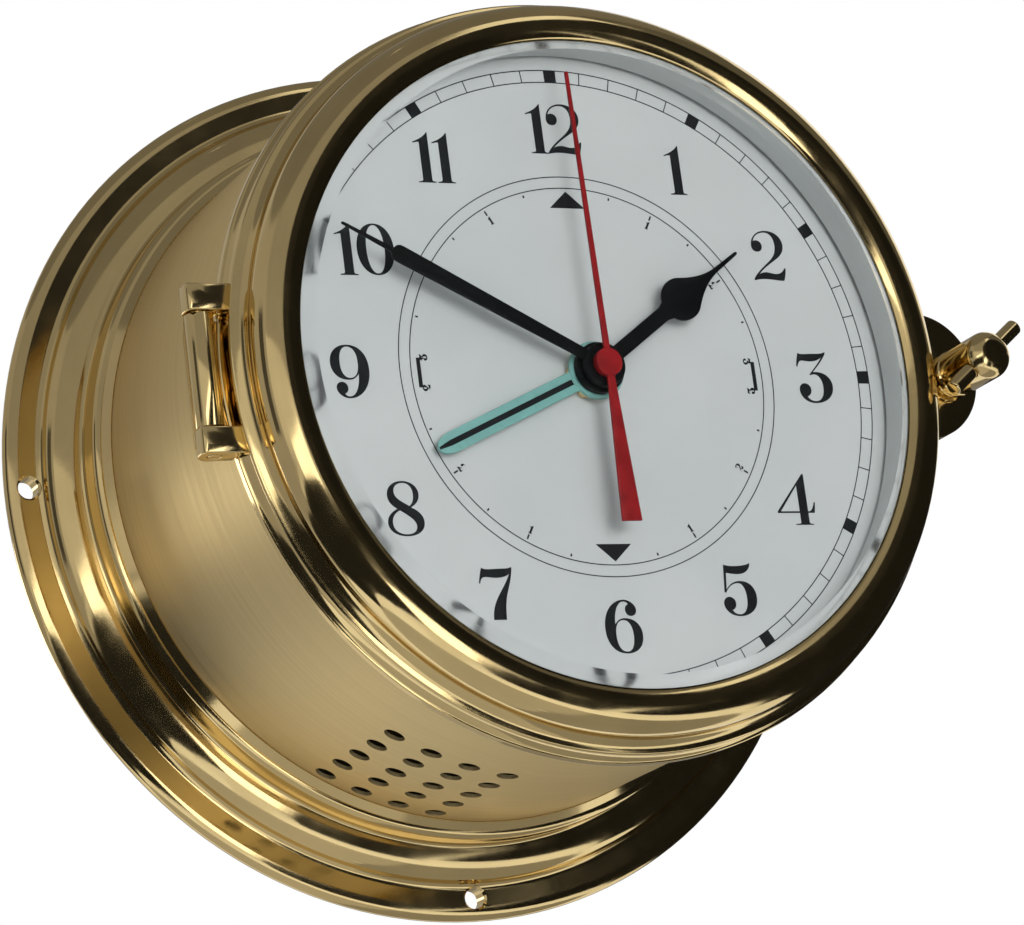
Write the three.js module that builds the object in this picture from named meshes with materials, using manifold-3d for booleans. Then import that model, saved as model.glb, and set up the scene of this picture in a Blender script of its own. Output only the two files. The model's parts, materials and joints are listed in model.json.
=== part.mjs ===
// Bulkhead clock with a time and tide dial, in millimetres.
// +X is 3 o'clock, +Z is 12 o'clock and the dial faces -Y.
// The origin is the centre of the flange's rear face, and a depth is a distance forward of that face.

import * as THREE from 'three';
import { mergeVertices } from 'three/addons/utils/BufferGeometryUtils.js';
import Module from 'manifold-3d';

const wasm = await Module();
wasm.setup();

// Clearances
const SEAT_GAP = 0.05;
const FIT_GAP = 0.3;
const RUNNING_GAP = 0.15;
const END_PLAY = 0.2;

// How far a cutter runs past the face that it cuts
const OVERCUT = 1;

// Facets of large rings, shafts and small pins
const RING_SIDES = 48;
const SHAFT_SIDES = 20;
const PIN_SIDES = 12;
const VENT_SIDES = 8;

// Drum
const DRUM_RADIUS = 72.5;
const DRUM_WALL = 1.9;
const DRUM_LENGTH = 77;
const VENT_RADIUS = 2.1;
const VENT_ROWS = 5;
const VENT_COLUMNS = 4;
const VENT_ROW_PITCH = 8.25;
const VENT_COLUMN_PITCH = 8.05;
const VENT_FIRST_DEPTH = 19.8;
const VENT_CENTRE_DEG = 200.85;

// Wall flange
const SOCKET_WALL = 2.9;
const SOCKET_LENGTH = 15;
const SOCKET_FILLET = 1.5;
const OGEE_STEP = 0.8;
const OGEE_WIDTH = 6.2;
const OGEE_HEIGHT = 4.75;
const SCREW_ZONE_WIDTH = 7.3;
const SCREW_ZONE_DEPTH = 3.75;
const RIM_ROUND = 1.75;
const SCREW_PITCH_INSET = 4.4;
const SCREW_COUNT = 4;
const SCREW_HOLE_RADIUS = 2.1;
const COUNTERSINK_RADIUS = 2.9;
const COUNTERSINK_DEPTH = 0.85;

// Dial and the ring that carries it
const DIAL_STANDOFF = 2.4;
const DIAL_THICKNESS = 1;
const DIAL_MARGIN = 0.5;
const SEAT_WIDTH = 6.5;
const SEAT_LENGTH = 8;
const DIAL_SCREW_COUNT = 3;
const DIAL_SCREW_RADIUS = 0.9;
const DIAL_SCREW_HEAD_RADIUS = 1.6;
const DIAL_SCREW_HEAD = 0.8;
const DIAL_SCREW_LENGTH = 5;
const DIAL_SCREW_INSET = 2.9;

// Bezel, its glass and the ring that holds the glass
const BEZEL_GAP = 0.2;
const BEZEL_CLEARANCE = 0.9;
const BEZEL_OVERHANG = 2.6;
const BEZEL_LIP_DEPTH = 1.6;
const COVE_WIDTH = 1.3;
const COVE_DEPTH = 2.8;
const BEAD_WIDTH = 0.45;
const BEAD_DEPTH = 1.2;
const ROLL_RADIUS = 4.75;
const ROLL_TUCK_DEG = 19;
const BEZEL_FACE_WIDTH = 11.5;
const CROWN_WIDTH = 3.5;
const BEZEL_LIP_DROP = 1.15;
const GLASS_SEAT = 2.5;
const GLASS_CLEARANCE = 1.9;
const GLASS_EDGE = 1;
const GLASS_BEVEL = 1.75;
const GLASS_BEVEL_WIDTH = 2.3;
const RETAINER_LIFT = 1.2;
const RELIEF_DEPTH = 5.4;

// Bezel hinge at 9 o'clock
const HINGE_GAP = 0.4;
const HINGE_LIFT = 2.1;
const HINGE_LUG_RADIUS = 3;
const HINGE_LUG_HEIGHT = 5.1;
const HINGE_LUG_CORNER = 0.9;
const BARREL_RADIUS = 2.7;
const BARREL_HALF_LENGTH = 10.7;
const HINGE_PIN_RADIUS = 1.2;
const HINGE_LEAF_LENGTH = 11;
const HINGE_LEAF_TOE = 3.5;
const HINGE_LEAF_DEG = 160;

// Screw latch at 3 o'clock
const EAR_RADIUS = 12.9;
const EAR_CENTRE_INSET = 2.6;
const EAR_REAR_LIFT = 0.2;
const EAR_THICKNESS = 4.6;
const KNOB_RADIUS = 4.75;
const KNOB_LENGTH = 15.2;
const KNOB_ROUND = 2.8;
const KNOB_CHAMFER = 0.7;
const KNOB_CLEARANCE = 0.8;
const LATCH_SHANK_RADIUS = 2;
const LATCH_ENGAGEMENT = 3.5;
const LATCH_WASHER_RADIUS = 4.4;
const LATCH_WASHER_THICKNESS = 0.7;
const TOMMY_BAR_RADIUS = 1.6;
const TOMMY_BAR_HALF_LENGTH = 10.6;
const TOMMY_BAR_FROM_END = 3.8;
const TOMMY_BAR_DEG = 52;
const CASE_LUG_HALF_WIDTH = 5;
const CASE_LUG_THICKNESS = 6;

// Concentric shafts through the dial, from the centre outwards
const SECOND_ARBOR_RADIUS = 0.55;
const TUBE_WALL = 0.6;
const BUSH_WALL = 1.1;
const BUSH_FIT = 0.1;
const NUT_ACROSS_FLATS = 9.6;
const NUT_HEIGHT = 1.8;
const WASHER_RADIUS = 9;
const WASHER_THICKNESS = 1.2;

// Hands: clock angles, lengths from the centre, hubs and blade
const HAND_THICKNESS = 0.6;
const HUB_HEIGHT = 1.6;
const TIDE_HUB_HEIGHT = 0.9;
const TIDE_HAND_DEG = 246;
const TIDE_HAND_LENGTH = 38.3;
const TIDE_HAND_WIDTH = 4.1;
const TIDE_HUB_RADIUS = 5.7;
const HOUR_HAND_DEG = 54.5;
const HOUR_HAND_LENGTH = 40.8;
const HOUR_STEM_WIDTH = 3;
const HOUR_BULB_WIDTH = 8.6;
const HOUR_BULB_RADIUS = 24;
const HOUR_TAPER = 11;
const HOUR_SHOULDER_DEG = 28;
const HOUR_TIP_WIDTH = 1;
const HOUR_HUB_RADIUS = 5;
const MINUTE_HAND_DEG = 298;
const MINUTE_TIP_GAP = 6.1;
const MINUTE_ROOT_WIDTH = 2.2;
const MINUTE_BLADE_WIDTH = 3.4;
const MINUTE_BLADE_LENGTH = 45;
const MINUTE_TIP_WIDTH = 1;
const MINUTE_HUB_RADIUS = 4.3;
const SECOND_HAND_DEG = 359.4;
const SECOND_TIP_GAP = 5.4;
const SECOND_TAIL_LENGTH = 31;
const SECOND_TAIL_WIDTH = 4.2;
const SECOND_ROOT_WIDTH = 1.3;
const SECOND_TIP_WIDTH = 0.7;
const SECOND_HUB_RADIUS = 2.75;

// Movement housing
const HOUSING_WALL = 1.5;
const TRAIN_CLEARANCE = 1.5;
const STATOR_TOP_GAP = 2.2;
const BAY_CLEARANCE = 0.65;
const BAY_GAP = 0.5;

// Gear train: layers of wheels stacked behind the housing's front plate
const LAYER_PITCH = 2.1;
const FIRST_LAYER = 0.6;
const TIDE_LAYER = 0;
const DRIVER_LAYER = 1;
const HOUR_LAYER = 2;
const MOTION_LAYER = 3;
const MINUTE_LAYER = 4;
const INTERMEDIATE_LAYER = 5;
const SECOND_LAYER = 6;
const THIRD_LAYER = 7;
const GEAR_THICKNESS = 1;
const PINION_OVERLAP = 0.2;
const ARBOR_RADIUS = 0.6;
const SECOND_WHEEL_MODULE = 0.55;
const THIRD_WHEEL_MODULE = 0.45;
const MOTION_MODULE = 0.55;
const CENTRE_DISTANCE_INTERMEDIATE = 13.6;
const CENTRE_DISTANCE_TIDE = 15.4;
const TOOTH_HEIGHT = 2;
const TOOTH_ADDENDUM = 0.4;
const IDLER_STUD_RADIUS = 0.9;
const IDLER_DEG = 60;
const ROTOR_DEG = 300;
const ROTOR_MAGNET_RADIUS = 3;
const ROTOR_MAGNET_LENGTH = 4;
const STATOR_THICKNESS = 1;
const STATOR_MARGIN = 2.5;
const CORE_WIDTH = 3;
const COIL_LENGTH = 20;
const COIL_WINDING = 2.9;
const COIL_OFFSET = 14;
const COIL_CLEARANCE = 1.5;
const SETTING_KNOB_RADIUS = 5;
const SETTING_KNOB_HEIGHT = 4;
const SETTING_KNOB_FLUTES = 12;
const SETTING_KNOB_FLUTE = 0.6;

// Teeth of the wheels and pinions
const TEETH = {
  rotorPinion: 8, thirdWheel: 48, thirdPinion: 8, secondWheel: 40,
  secondPinion: 8, intermediateWheel: 60, intermediatePinion: 8, minuteWheel: 64,
  cannonPinion: 12, motionWheel: 36, motionPinion: 10, hourWheel: 40,
  tideDriver: 57, tideIdler: 20, tideWheel: 59,
};

// Circuit board, crystal and cell
const BOARD_THICKNESS = 1.2;
const BOARD_HEIGHT = 11.5;
const BOARD_SIDE_GAP = 1.5;
const CRYSTAL_RADIUS = 1.5;
const CRYSTAL_LENGTH = 6;
const CRYSTAL_X = 8;
const CELL_RADIUS = 7.25;
const CELL_LENGTH = 50.5;
const CELL_NIPPLE_RADIUS = 2.7;
const CELL_NIPPLE = 1.4;
const CONTACT_THICKNESS = 0.5;
const CONTACT_HEIGHT = 9;
const CONTACT_SPAN = 1.85;

// Places worked out from the sizes above
const DRUM_BORE = DRUM_RADIUS - DRUM_WALL;
const SEAT_RADIUS = DRUM_BORE - FIT_GAP;
const DIAL_FACE = DRUM_LENGTH + DIAL_STANDOFF;
const DIAL_BACK = DIAL_FACE - DIAL_THICKNESS;
const DIAL_RADIUS = SEAT_RADIUS - DIAL_MARGIN;
const SEAT_FRONT = DIAL_BACK - SEAT_GAP;
const SOCKET_BORE = DRUM_RADIUS + FIT_GAP;
const SOCKET_RADIUS = SOCKET_BORE + SOCKET_WALL;
const OGEE_INNER = SOCKET_RADIUS + OGEE_STEP;
const OGEE_OUTER = OGEE_INNER + OGEE_WIDTH;
const FLANGE_RADIUS = OGEE_OUTER + SCREW_ZONE_WIDTH;
const SCREW_PITCH_RADIUS = FLANGE_RADIUS - SCREW_PITCH_INSET;

const BEZEL_REAR = DRUM_LENGTH + BEZEL_GAP;
const BEZEL_BORE = SEAT_RADIUS + BEZEL_CLEARANCE;
const BEZEL_LIP_RADIUS = DRUM_RADIUS + BEZEL_OVERHANG;
const COVE_RADIUS = BEZEL_LIP_RADIUS - COVE_WIDTH;
const BEAD_RADIUS = COVE_RADIUS + BEAD_WIDTH;
const OPENING_RADIUS = BEZEL_LIP_RADIUS - BEZEL_FACE_WIDTH;
const MINUTE_HAND_LENGTH = OPENING_RADIUS - MINUTE_TIP_GAP;
const SECOND_HAND_LENGTH = OPENING_RADIUS - SECOND_TIP_GAP;

const NUT_REAR = DIAL_FACE + SEAT_GAP;
const NUT_FRONT = NUT_REAR + NUT_HEIGHT;
const TIDE_HUB_REAR = NUT_FRONT + END_PLAY;
const HOUR_HUB_REAR = TIDE_HUB_REAR + TIDE_HUB_HEIGHT + END_PLAY;
const MINUTE_HUB_REAR = HOUR_HUB_REAR + HUB_HEIGHT + END_PLAY;
const SECOND_HUB_REAR = MINUTE_HUB_REAR + HUB_HEIGHT + END_PLAY;

const GLASS_RADIUS = OPENING_RADIUS + GLASS_SEAT;
const GLASS_BACK = SECOND_HUB_REAR + HUB_HEIGHT + GLASS_CLEARANCE;
const GLASS_EDGE_FRONT = GLASS_BACK + GLASS_EDGE;
const BEZEL_FRONT = GLASS_EDGE_FRONT + SEAT_GAP + BEZEL_LIP_DROP;
const RABBET_RADIUS = GLASS_RADIUS + RUNNING_GAP;
const RELIEF_FRONT = BEZEL_REAR + RELIEF_DEPTH;

const HINGE_X = -(BEZEL_LIP_RADIUS + HINGE_GAP + BARREL_RADIUS);
const HINGE_DEPTH = BEZEL_REAR + HINGE_LIFT;
const LUG_START = BARREL_HALF_LENGTH + FIT_GAP;
const LUG_END = LUG_START + HINGE_LUG_HEIGHT;

const EAR_REAR = BEZEL_REAR + EAR_REAR_LIFT;
const EAR_FRONT = EAR_REAR + EAR_THICKNESS;
const LATCH_X = BEAD_RADIUS + KNOB_CLEARANCE + KNOB_RADIUS;
const LATCH_WASHER_REAR = EAR_FRONT + SEAT_GAP;
const KNOB_REAR = LATCH_WASHER_REAR + LATCH_WASHER_THICKNESS + SEAT_GAP;
const KNOB_FRONT = KNOB_REAR + KNOB_LENGTH;
const TOMMY_BAR_DEPTH = KNOB_FRONT - TOMMY_BAR_FROM_END;
const CASE_LUG_FRONT = DRUM_LENGTH - SEAT_GAP;
const LATCH_TIP = CASE_LUG_FRONT - LATCH_ENGAGEMENT;

const HOUSING_FRONT = DIAL_BACK - WASHER_THICKNESS - 2 * SEAT_GAP;
const PLATE_REAR = HOUSING_FRONT - HOUSING_WALL;
const COVER_FRONT = PLATE_REAR - (THIRD_LAYER + 1) * LAYER_PITCH - END_PLAY;
const COVER_REAR = COVER_FRONT - HOUSING_WALL;

const MINUTE_TUBE_BORE = SECOND_ARBOR_RADIUS + RUNNING_GAP;
const MINUTE_TUBE_RADIUS = MINUTE_TUBE_BORE + TUBE_WALL;
const HOUR_TUBE_BORE = MINUTE_TUBE_RADIUS + RUNNING_GAP;
const HOUR_TUBE_RADIUS = HOUR_TUBE_BORE + TUBE_WALL;
const TIDE_TUBE_BORE = HOUR_TUBE_RADIUS + RUNNING_GAP;
const TIDE_TUBE_RADIUS = TIDE_TUBE_BORE + TUBE_WALL;
const BUSH_BORE = TIDE_TUBE_RADIUS + RUNNING_GAP;
const BUSH_RADIUS = BUSH_BORE + BUSH_WALL;
const BUSH_HOLE_RADIUS = BUSH_RADIUS + BUSH_FIT;

const MOTION_X = MOTION_MODULE * (TEETH.cannonPinion + TEETH.motionWheel) / 2;
const THIRD_Z = SECOND_WHEEL_MODULE * (TEETH.thirdPinion + TEETH.secondWheel) / 2;
const ROTOR_DISTANCE = THIRD_WHEEL_MODULE * (TEETH.rotorPinion + TEETH.thirdWheel) / 2;
const CENTRE = { x: 0, z: 0 };
const MOTION_AXIS = { x: MOTION_X, z: 0 };
const INTERMEDIATE_AXIS = { x: -CENTRE_DISTANCE_INTERMEDIATE, z: 0 };
const THIRD_AXIS = { x: 0, z: THIRD_Z };
const ROTOR_AXIS = around(THIRD_AXIS, ROTOR_DISTANCE, ROTOR_DEG);
const IDLER_AXIS = around(CENTRE, CENTRE_DISTANCE_TIDE, IDLER_DEG);
const STATOR_BORE = ROTOR_MAGNET_RADIUS + FIT_GAP;
const STATOR_YOKE = STATOR_BORE + STATOR_MARGIN;
const STATOR_REAR = layerFront(THIRD_LAYER) + COIL_CLEARANCE + COIL_WINDING + FIT_GAP;
const STATOR_FRONT = STATOR_REAR + STATOR_THICKNESS;
const COIL_START = ROTOR_AXIS.x + COIL_OFFSET;
const COIL_END = COIL_START + COIL_LENGTH;
const INTERMEDIATE_TIP = tipRadius(CENTRE_DISTANCE_INTERMEDIATE, TEETH.intermediateWheel, TEETH.secondPinion);
const MINUTE_TIP = tipRadius(CENTRE_DISTANCE_INTERMEDIATE, TEETH.minuteWheel, TEETH.intermediatePinion);
const TRAIN_HALF_WIDTH = CENTRE_DISTANCE_INTERMEDIATE + INTERMEDIATE_TIP + TRAIN_CLEARANCE;
const BAY_HALF_WIDTH = CELL_LENGTH / 2 + 2 * END_PLAY + CONTACT_SPAN;
const INNER_HALF_WIDTH = Math.max(BAY_HALF_WIDTH, TRAIN_HALF_WIDTH, COIL_END + TRAIN_CLEARANCE);
const HOUSING_HALF_WIDTH = INNER_HALF_WIDTH + HOUSING_WALL;
const HOUSING_TOP = ROTOR_AXIS.z + STATOR_YOKE + STATOR_TOP_GAP + HOUSING_WALL;
const COVER_BOTTOM = Math.max(INTERMEDIATE_TIP, MINUTE_TIP) + BAY_CLEARANCE;
const CELL_Z = -(COVER_BOTTOM + BAY_GAP + CELL_RADIUS);
const BAY_BOTTOM = CELL_RADIUS + END_PLAY - CELL_Z;
const HOUSING_BOTTOM = BAY_BOTTOM + HOUSING_WALL;
const CELL_DEPTH = (PLATE_REAR + COVER_FRONT) / 2;

// Basic tools

function radians(degrees) {
  return degrees * Math.PI / 180;
}

// A point at a distance from an axis, at a clock angle.
function around(axis, distance, clockDeg) {
  const angle = radians(clockDeg);
  return { x: axis.x + distance * Math.sin(angle), z: axis.z + distance * Math.cos(angle) };
}

// The front depth of a layer of wheels, numbered from the front plate.
function layerFront(number) {
  return PLATE_REAR - FIRST_LAYER - number * LAYER_PITCH;
}

function module(distance, teethA, teethB) {
  return 2 * distance / (teethA + teethB);
}

function tipRadius(distance, teeth, mateTeeth) {
  return module(distance, teeth, mateTeeth) * (teeth / 2 + TOOTH_ADDENDUM);
}

// A geometry reduced to merged positions, as the boolean library needs it.
function toSolid(geometry) {
  const bare = geometry.clone();
  bare.deleteAttribute('normal');
  bare.deleteAttribute('uv');
  const merged = mergeVertices(bare, 1e-5);
  const corners = Array.from(merged.index.array);
  const position = merged.attributes.position;
  const triangles = [];
  const a = new THREE.Vector3();
  const b = new THREE.Vector3();
  const c = new THREE.Vector3();
  let volume = 0;
  for (let i = 0; i < corners.length; i += 3) {
    const [p, q, r] = corners.slice(i, i + 3);
    if (p === q || q === r || r === p) continue;
    triangles.push([p, q, r]);
    a.fromBufferAttribute(position, p);
    b.fromBufferAttribute(position, q);
    c.fromBufferAttribute(position, r);
    volume += a.dot(b.cross(c));
  }
  const outward = volume > 0 ? triangles : triangles.map(([p, q, r]) => [p, r, q]);
  return new wasm.Manifold(new wasm.Mesh({
    numProp: 3,
    vertProperties: new Float32Array(position.array),
    triVerts: new Uint32Array(outward.flat()),
  }));
}

function toGeometry(solid) {
  const mesh = solid.getMesh();
  const geometry = new THREE.BufferGeometry();
  geometry.setAttribute('position', new THREE.BufferAttribute(mesh.vertProperties, 3));
  geometry.setIndex(new THREE.BufferAttribute(mesh.triVerts, 1));
  return geometry;
}

// A body turned about the clock's axis from a profile of [radius, depth] points, moved to an axis.
function turned(profile, sides = SHAFT_SIDES, axis = CENTRE) {
  const points = profile.map(([radius, depth]) => new THREE.Vector2(radius, -depth));
  const onAxis = profile[0][0] === 0 && profile[profile.length - 1][0] === 0;
  if (!onAxis) points.push(points[0].clone());
  return toSolid(new THREE.LatheGeometry(points, sides)).translate([axis.x, 0, axis.z]);
}

// Profile points along an elliptical arc, without its first point.
function arc(radius, depth, width, height, fromDeg, toDeg, steps) {
  const points = [];
  for (let i = 1; i <= steps; i += 1) {
    const angle = radians(fromDeg + (toDeg - fromDeg) * i / steps);
    points.push([radius + width * Math.cos(angle), depth + height * Math.sin(angle)]);
  }
  return points;
}

function disc(radius, rear, front, sides = SHAFT_SIDES, axis = CENTRE) {
  return turned([[0, rear], [radius, rear], [radius, front], [0, front]], sides, axis);
}

function ring(bore, radius, rear, front, sides = SHAFT_SIDES, axis = CENTRE) {
  return turned([[bore, rear], [radius, rear], [radius, front], [bore, front]], sides, axis);
}

// A shape drawn in x and z, with its thickness along the depth.
function plate(shape, rear, front, curveSegments = 8) {
  const options = { depth: front - rear, bevelEnabled: false, curveSegments };
  const geometry = new THREE.ExtrudeGeometry(shape, options);
  geometry.rotateX(Math.PI / 2);
  geometry.translate(0, -rear, 0);
  return toSolid(geometry);
}

// A shape drawn in x and -depth, with its thickness along z.
function prism(shape, low, high, curveSegments = 8) {
  const options = { depth: high - low, bevelEnabled: false, curveSegments };
  const geometry = new THREE.ExtrudeGeometry(shape, options);
  geometry.translate(0, 0, low);
  return toSolid(geometry);
}

function block(x0, x1, rear, front, z0, z1) {
  const geometry = new THREE.BoxGeometry(x1 - x0, front - rear, z1 - z0);
  geometry.translate((x0 + x1) / 2, -(rear + front) / 2, (z0 + z1) / 2);
  return toSolid(geometry);
}

function polygon(points) {
  return new THREE.Shape(points.map(([x, y]) => new THREE.Vector2(x, y)));
}

function spin(solid, clockDeg) {
  return solid.rotate([0, clockDeg, 0]);
}

const clock = new THREE.Group();

function addPart(name, solid, material) {
  const mesh = new THREE.Mesh(toGeometry(solid), material());
  mesh.name = name;
  clock.add(mesh);
}

// Finishes

function finish(color, roughness, metalness) {
  return () => new THREE.MeshStandardMaterial({ color, roughness, metalness });
}

const polishedBrass = finish(0xc9a24d, 0.12, 1);
const satinBrass = finish(0xb8934a, 0.38, 1);
const whiteEnamel = finish(0xe6eaeb, 0.45, 0);
const clearGlass = finish(0xf2f6f6, 0.02, 0);
const blackLacquer = finish(0x14171a, 0.4, 0);
const redLacquer = finish(0xc01f26, 0.4, 0);
const aquaPlastic = finish(0x7dc3b9, 0.35, 0);
const blackPlastic = finish(0x1c1d1f, 0.55, 0);
const whitePlastic = finish(0xd9d9d2, 0.5, 0);
const steel = finish(0xb9bcc0, 0.3, 1);
const copper = finish(0xa9603a, 0.4, 1);
const greenBoard = finish(0x1f5a3a, 0.5, 0);
const blackRubber = finish(0x151515, 0.8, 0);
const cellWrap = finish(0x8d9196, 0.35, 0.4);

// Case

function mountingFlange() {
  const ogeeFront = SCREW_ZONE_DEPTH + OGEE_HEIGHT;
  const stepFront = ogeeFront + OGEE_STEP;
  const filletRadius = SOCKET_RADIUS - SOCKET_FILLET;
  const filletDepth = SOCKET_LENGTH - SOCKET_FILLET;
  const profile = [
    [SOCKET_BORE, 0], [FLANGE_RADIUS - RIM_ROUND, 0],
    ...arc(FLANGE_RADIUS - RIM_ROUND, RIM_ROUND, RIM_ROUND, RIM_ROUND, -90, 90, 6),
    [OGEE_OUTER, SCREW_ZONE_DEPTH],
    ...arc(OGEE_INNER, SCREW_ZONE_DEPTH, OGEE_WIDTH, OGEE_HEIGHT, 0, 90, 5),
    [SOCKET_RADIUS, stepFront], [SOCKET_RADIUS, filletDepth],
    ...arc(filletRadius, filletDepth, SOCKET_FILLET, SOCKET_FILLET, 0, 90, 2),
    [SOCKET_BORE, SOCKET_LENGTH + SOCKET_FILLET],
  ];
  let flange = turned(profile, RING_SIDES);
  for (let i = 0; i < SCREW_COUNT; i += 1) {
    const axis = around(CENTRE, SCREW_PITCH_RADIUS, i * 360 / SCREW_COUNT);
    const bore = turned([
      [0, -OVERCUT], [SCREW_HOLE_RADIUS, -OVERCUT],
      [SCREW_HOLE_RADIUS, SCREW_ZONE_DEPTH - COUNTERSINK_DEPTH],
      [COUNTERSINK_RADIUS, SCREW_ZONE_DEPTH], [COUNTERSINK_RADIUS, ogeeFront], [0, ogeeFront],
    ], PIN_SIDES, axis);
    flange = flange.subtract(bore);
  }
  return flange;
}

function caseDrum() {
  let drum = ring(DRUM_BORE, DRUM_RADIUS, 0, DRUM_LENGTH, RING_SIDES);
  const columnStep = VENT_COLUMN_PITCH / DRUM_RADIUS * 180 / Math.PI;
  for (let column = 0; column < VENT_COLUMNS; column += 1) {
    const angle = VENT_CENTRE_DEG + (column - (VENT_COLUMNS - 1) / 2) * columnStep;
    for (let row = 0; row < VENT_ROWS; row += 1) {
      const punch = new THREE.CylinderGeometry(VENT_RADIUS, VENT_RADIUS, 4 * DRUM_WALL, VENT_SIDES);
      punch.rotateX(Math.PI / 2);
      punch.translate(0, -(VENT_FIRST_DEPTH + row * VENT_ROW_PITCH), DRUM_RADIUS);
      drum = drum.subtract(spin(toSolid(punch), angle));
    }
  }
  return drum;
}

// The dial's three screws, under the bezel's edge.
function dialScrewAxes() {
  const axes = [];
  for (let i = 0; i < DIAL_SCREW_COUNT; i += 1) {
    axes.push(around(CENTRE, DIAL_RADIUS - DIAL_SCREW_INSET, (i + 0.5) * 360 / DIAL_SCREW_COUNT));
  }
  return axes;
}

function screwBores(solid) {
  const radius = DIAL_SCREW_RADIUS + END_PLAY;
  const rear = DIAL_FACE - DIAL_SCREW_LENGTH - END_PLAY;
  return dialScrewAxes().reduce(
    (body, axis) => body.subtract(disc(radius, rear, DIAL_FACE + OVERCUT, PIN_SIDES, axis)), solid);
}

function dialSeatRing() {
  const rear = SEAT_FRONT - SEAT_LENGTH;
  return screwBores(ring(SEAT_RADIUS - SEAT_WIDTH, SEAT_RADIUS, rear, SEAT_FRONT, RING_SIDES));
}

function dialPlate() {
  return screwBores(ring(BUSH_HOLE_RADIUS, DIAL_RADIUS, DIAL_BACK, DIAL_FACE, RING_SIDES));
}

function dialScrew(axis) {
  const head = DIAL_FACE + SEAT_GAP;
  return turned([
    [0, DIAL_FACE - DIAL_SCREW_LENGTH], [DIAL_SCREW_RADIUS, DIAL_FACE - DIAL_SCREW_LENGTH],
    [DIAL_SCREW_RADIUS, head], [DIAL_SCREW_HEAD_RADIUS, head],
    [DIAL_SCREW_HEAD_RADIUS, head + DIAL_SCREW_HEAD / 2], [DIAL_SCREW_RADIUS, head + DIAL_SCREW_HEAD],
    [0, head + DIAL_SCREW_HEAD],
  ], PIN_SIDES, axis);
}

addPart('mounting_flange', mountingFlange(), polishedBrass);
addPart('case_drum', caseDrum(), satinBrass);
addPart('dial_seat_ring', dialSeatRing(), satinBrass);
addPart('dial_plate', dialPlate(), whiteEnamel);
dialScrewAxes().forEach((axis, i) => addPart(`dial_screw_${i + 1}`, dialScrew(axis), steel));

// Bezel

// From the rear: a lip, a cove, a bead, a hollow and a large round roll that turns in to the glass.
function bezelRing() {
  const lipFront = BEZEL_REAR + BEZEL_LIP_DEPTH;
  const coveFront = lipFront + COVE_DEPTH;
  const beadFront = coveFront + BEAD_DEPTH;
  const crownRadius = OPENING_RADIUS + CROWN_WIDTH;
  const openingDepth = GLASS_EDGE_FRONT + 2 * SEAT_GAP;
  const rollDepth = BEZEL_FRONT - ROLL_RADIUS;
  const tuckRadius = crownRadius + ROLL_RADIUS * Math.cos(radians(ROLL_TUCK_DEG));
  const tuckDepth = rollDepth - ROLL_RADIUS * Math.sin(radians(ROLL_TUCK_DEG));
  const hollowWidth = COVE_RADIUS - tuckRadius;
  return turned([
    [BEZEL_BORE, BEZEL_REAR], [BEZEL_LIP_RADIUS, BEZEL_REAR], [BEZEL_LIP_RADIUS, lipFront],
    ...arc(BEZEL_LIP_RADIUS, coveFront, COVE_WIDTH, COVE_DEPTH, 270, 180, 3),
    ...arc(COVE_RADIUS, coveFront + BEAD_DEPTH / 2, BEAD_WIDTH, BEAD_DEPTH / 2, -90, 90, 4),
    ...arc(COVE_RADIUS, tuckDepth, hollowWidth, tuckDepth - beadFront, 270, 180, 3),
    ...arc(crownRadius, rollDepth, ROLL_RADIUS, ROLL_RADIUS, -ROLL_TUCK_DEG, 90, 8),
    ...arc(crownRadius, openingDepth, CROWN_WIDTH, BEZEL_FRONT - openingDepth, 90, 180, 3),
    [RABBET_RADIUS, GLASS_EDGE_FRONT + SEAT_GAP], [RABBET_RADIUS, RELIEF_FRONT], [BEZEL_BORE, RELIEF_FRONT],
  ], RING_SIDES);
}

function bezelGlass() {
  const flatRadius = OPENING_RADIUS - GLASS_BEVEL_WIDTH;
  return turned([
    [0, GLASS_BACK], [GLASS_RADIUS, GLASS_BACK], [GLASS_RADIUS, GLASS_EDGE_FRONT],
    [OPENING_RADIUS - RUNNING_GAP, GLASS_EDGE_FRONT], [flatRadius, GLASS_EDGE_FRONT + GLASS_BEVEL],
    [0, GLASS_EDGE_FRONT + GLASS_BEVEL],
  ], RING_SIDES);
}

function glassRetainingRing() {
  const front = GLASS_BACK - SEAT_GAP;
  return ring(OPENING_RADIUS, RABBET_RADIUS - RUNNING_GAP, DIAL_FACE + RETAINER_LIFT, front, RING_SIDES);
}

// A hinge lug: a block that is round about the hinge pin behind, and meets the bezel's rim.
function bezelHingeLug(low, high) {
  const outline = new THREE.Shape();
  const rimX = -OPENING_RADIUS;
  const front = -HINGE_DEPTH - HINGE_LUG_RADIUS;
  const cornerX = HINGE_X - HINGE_LUG_RADIUS + HINGE_LUG_CORNER;
  outline.moveTo(cornerX, front);
  outline.absarc(cornerX, front + HINGE_LUG_CORNER, HINGE_LUG_CORNER, -Math.PI / 2, -Math.PI, true);
  outline.absarc(HINGE_X, -HINGE_DEPTH, HINGE_LUG_RADIUS, Math.PI, Math.PI / 3, true);
  outline.lineTo(rimX, -HINGE_DEPTH + HINGE_LUG_RADIUS / 2);
  outline.lineTo(rimX, front);
  const coveDepth = BEZEL_REAR + BEZEL_LIP_DEPTH + 2 * FIT_GAP;
  const lip = disc(BEZEL_LIP_RADIUS + FIT_GAP, BEZEL_REAR - BEZEL_LIP_DEPTH, coveDepth, RING_SIDES);
  const bead = disc(BEAD_RADIUS + FIT_GAP, BEZEL_REAR - BEZEL_LIP_DEPTH, BEZEL_FRONT, RING_SIDES);
  return prism(outline, low, high).subtract(lip).subtract(bead).subtract(hingeBore());
}

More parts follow.
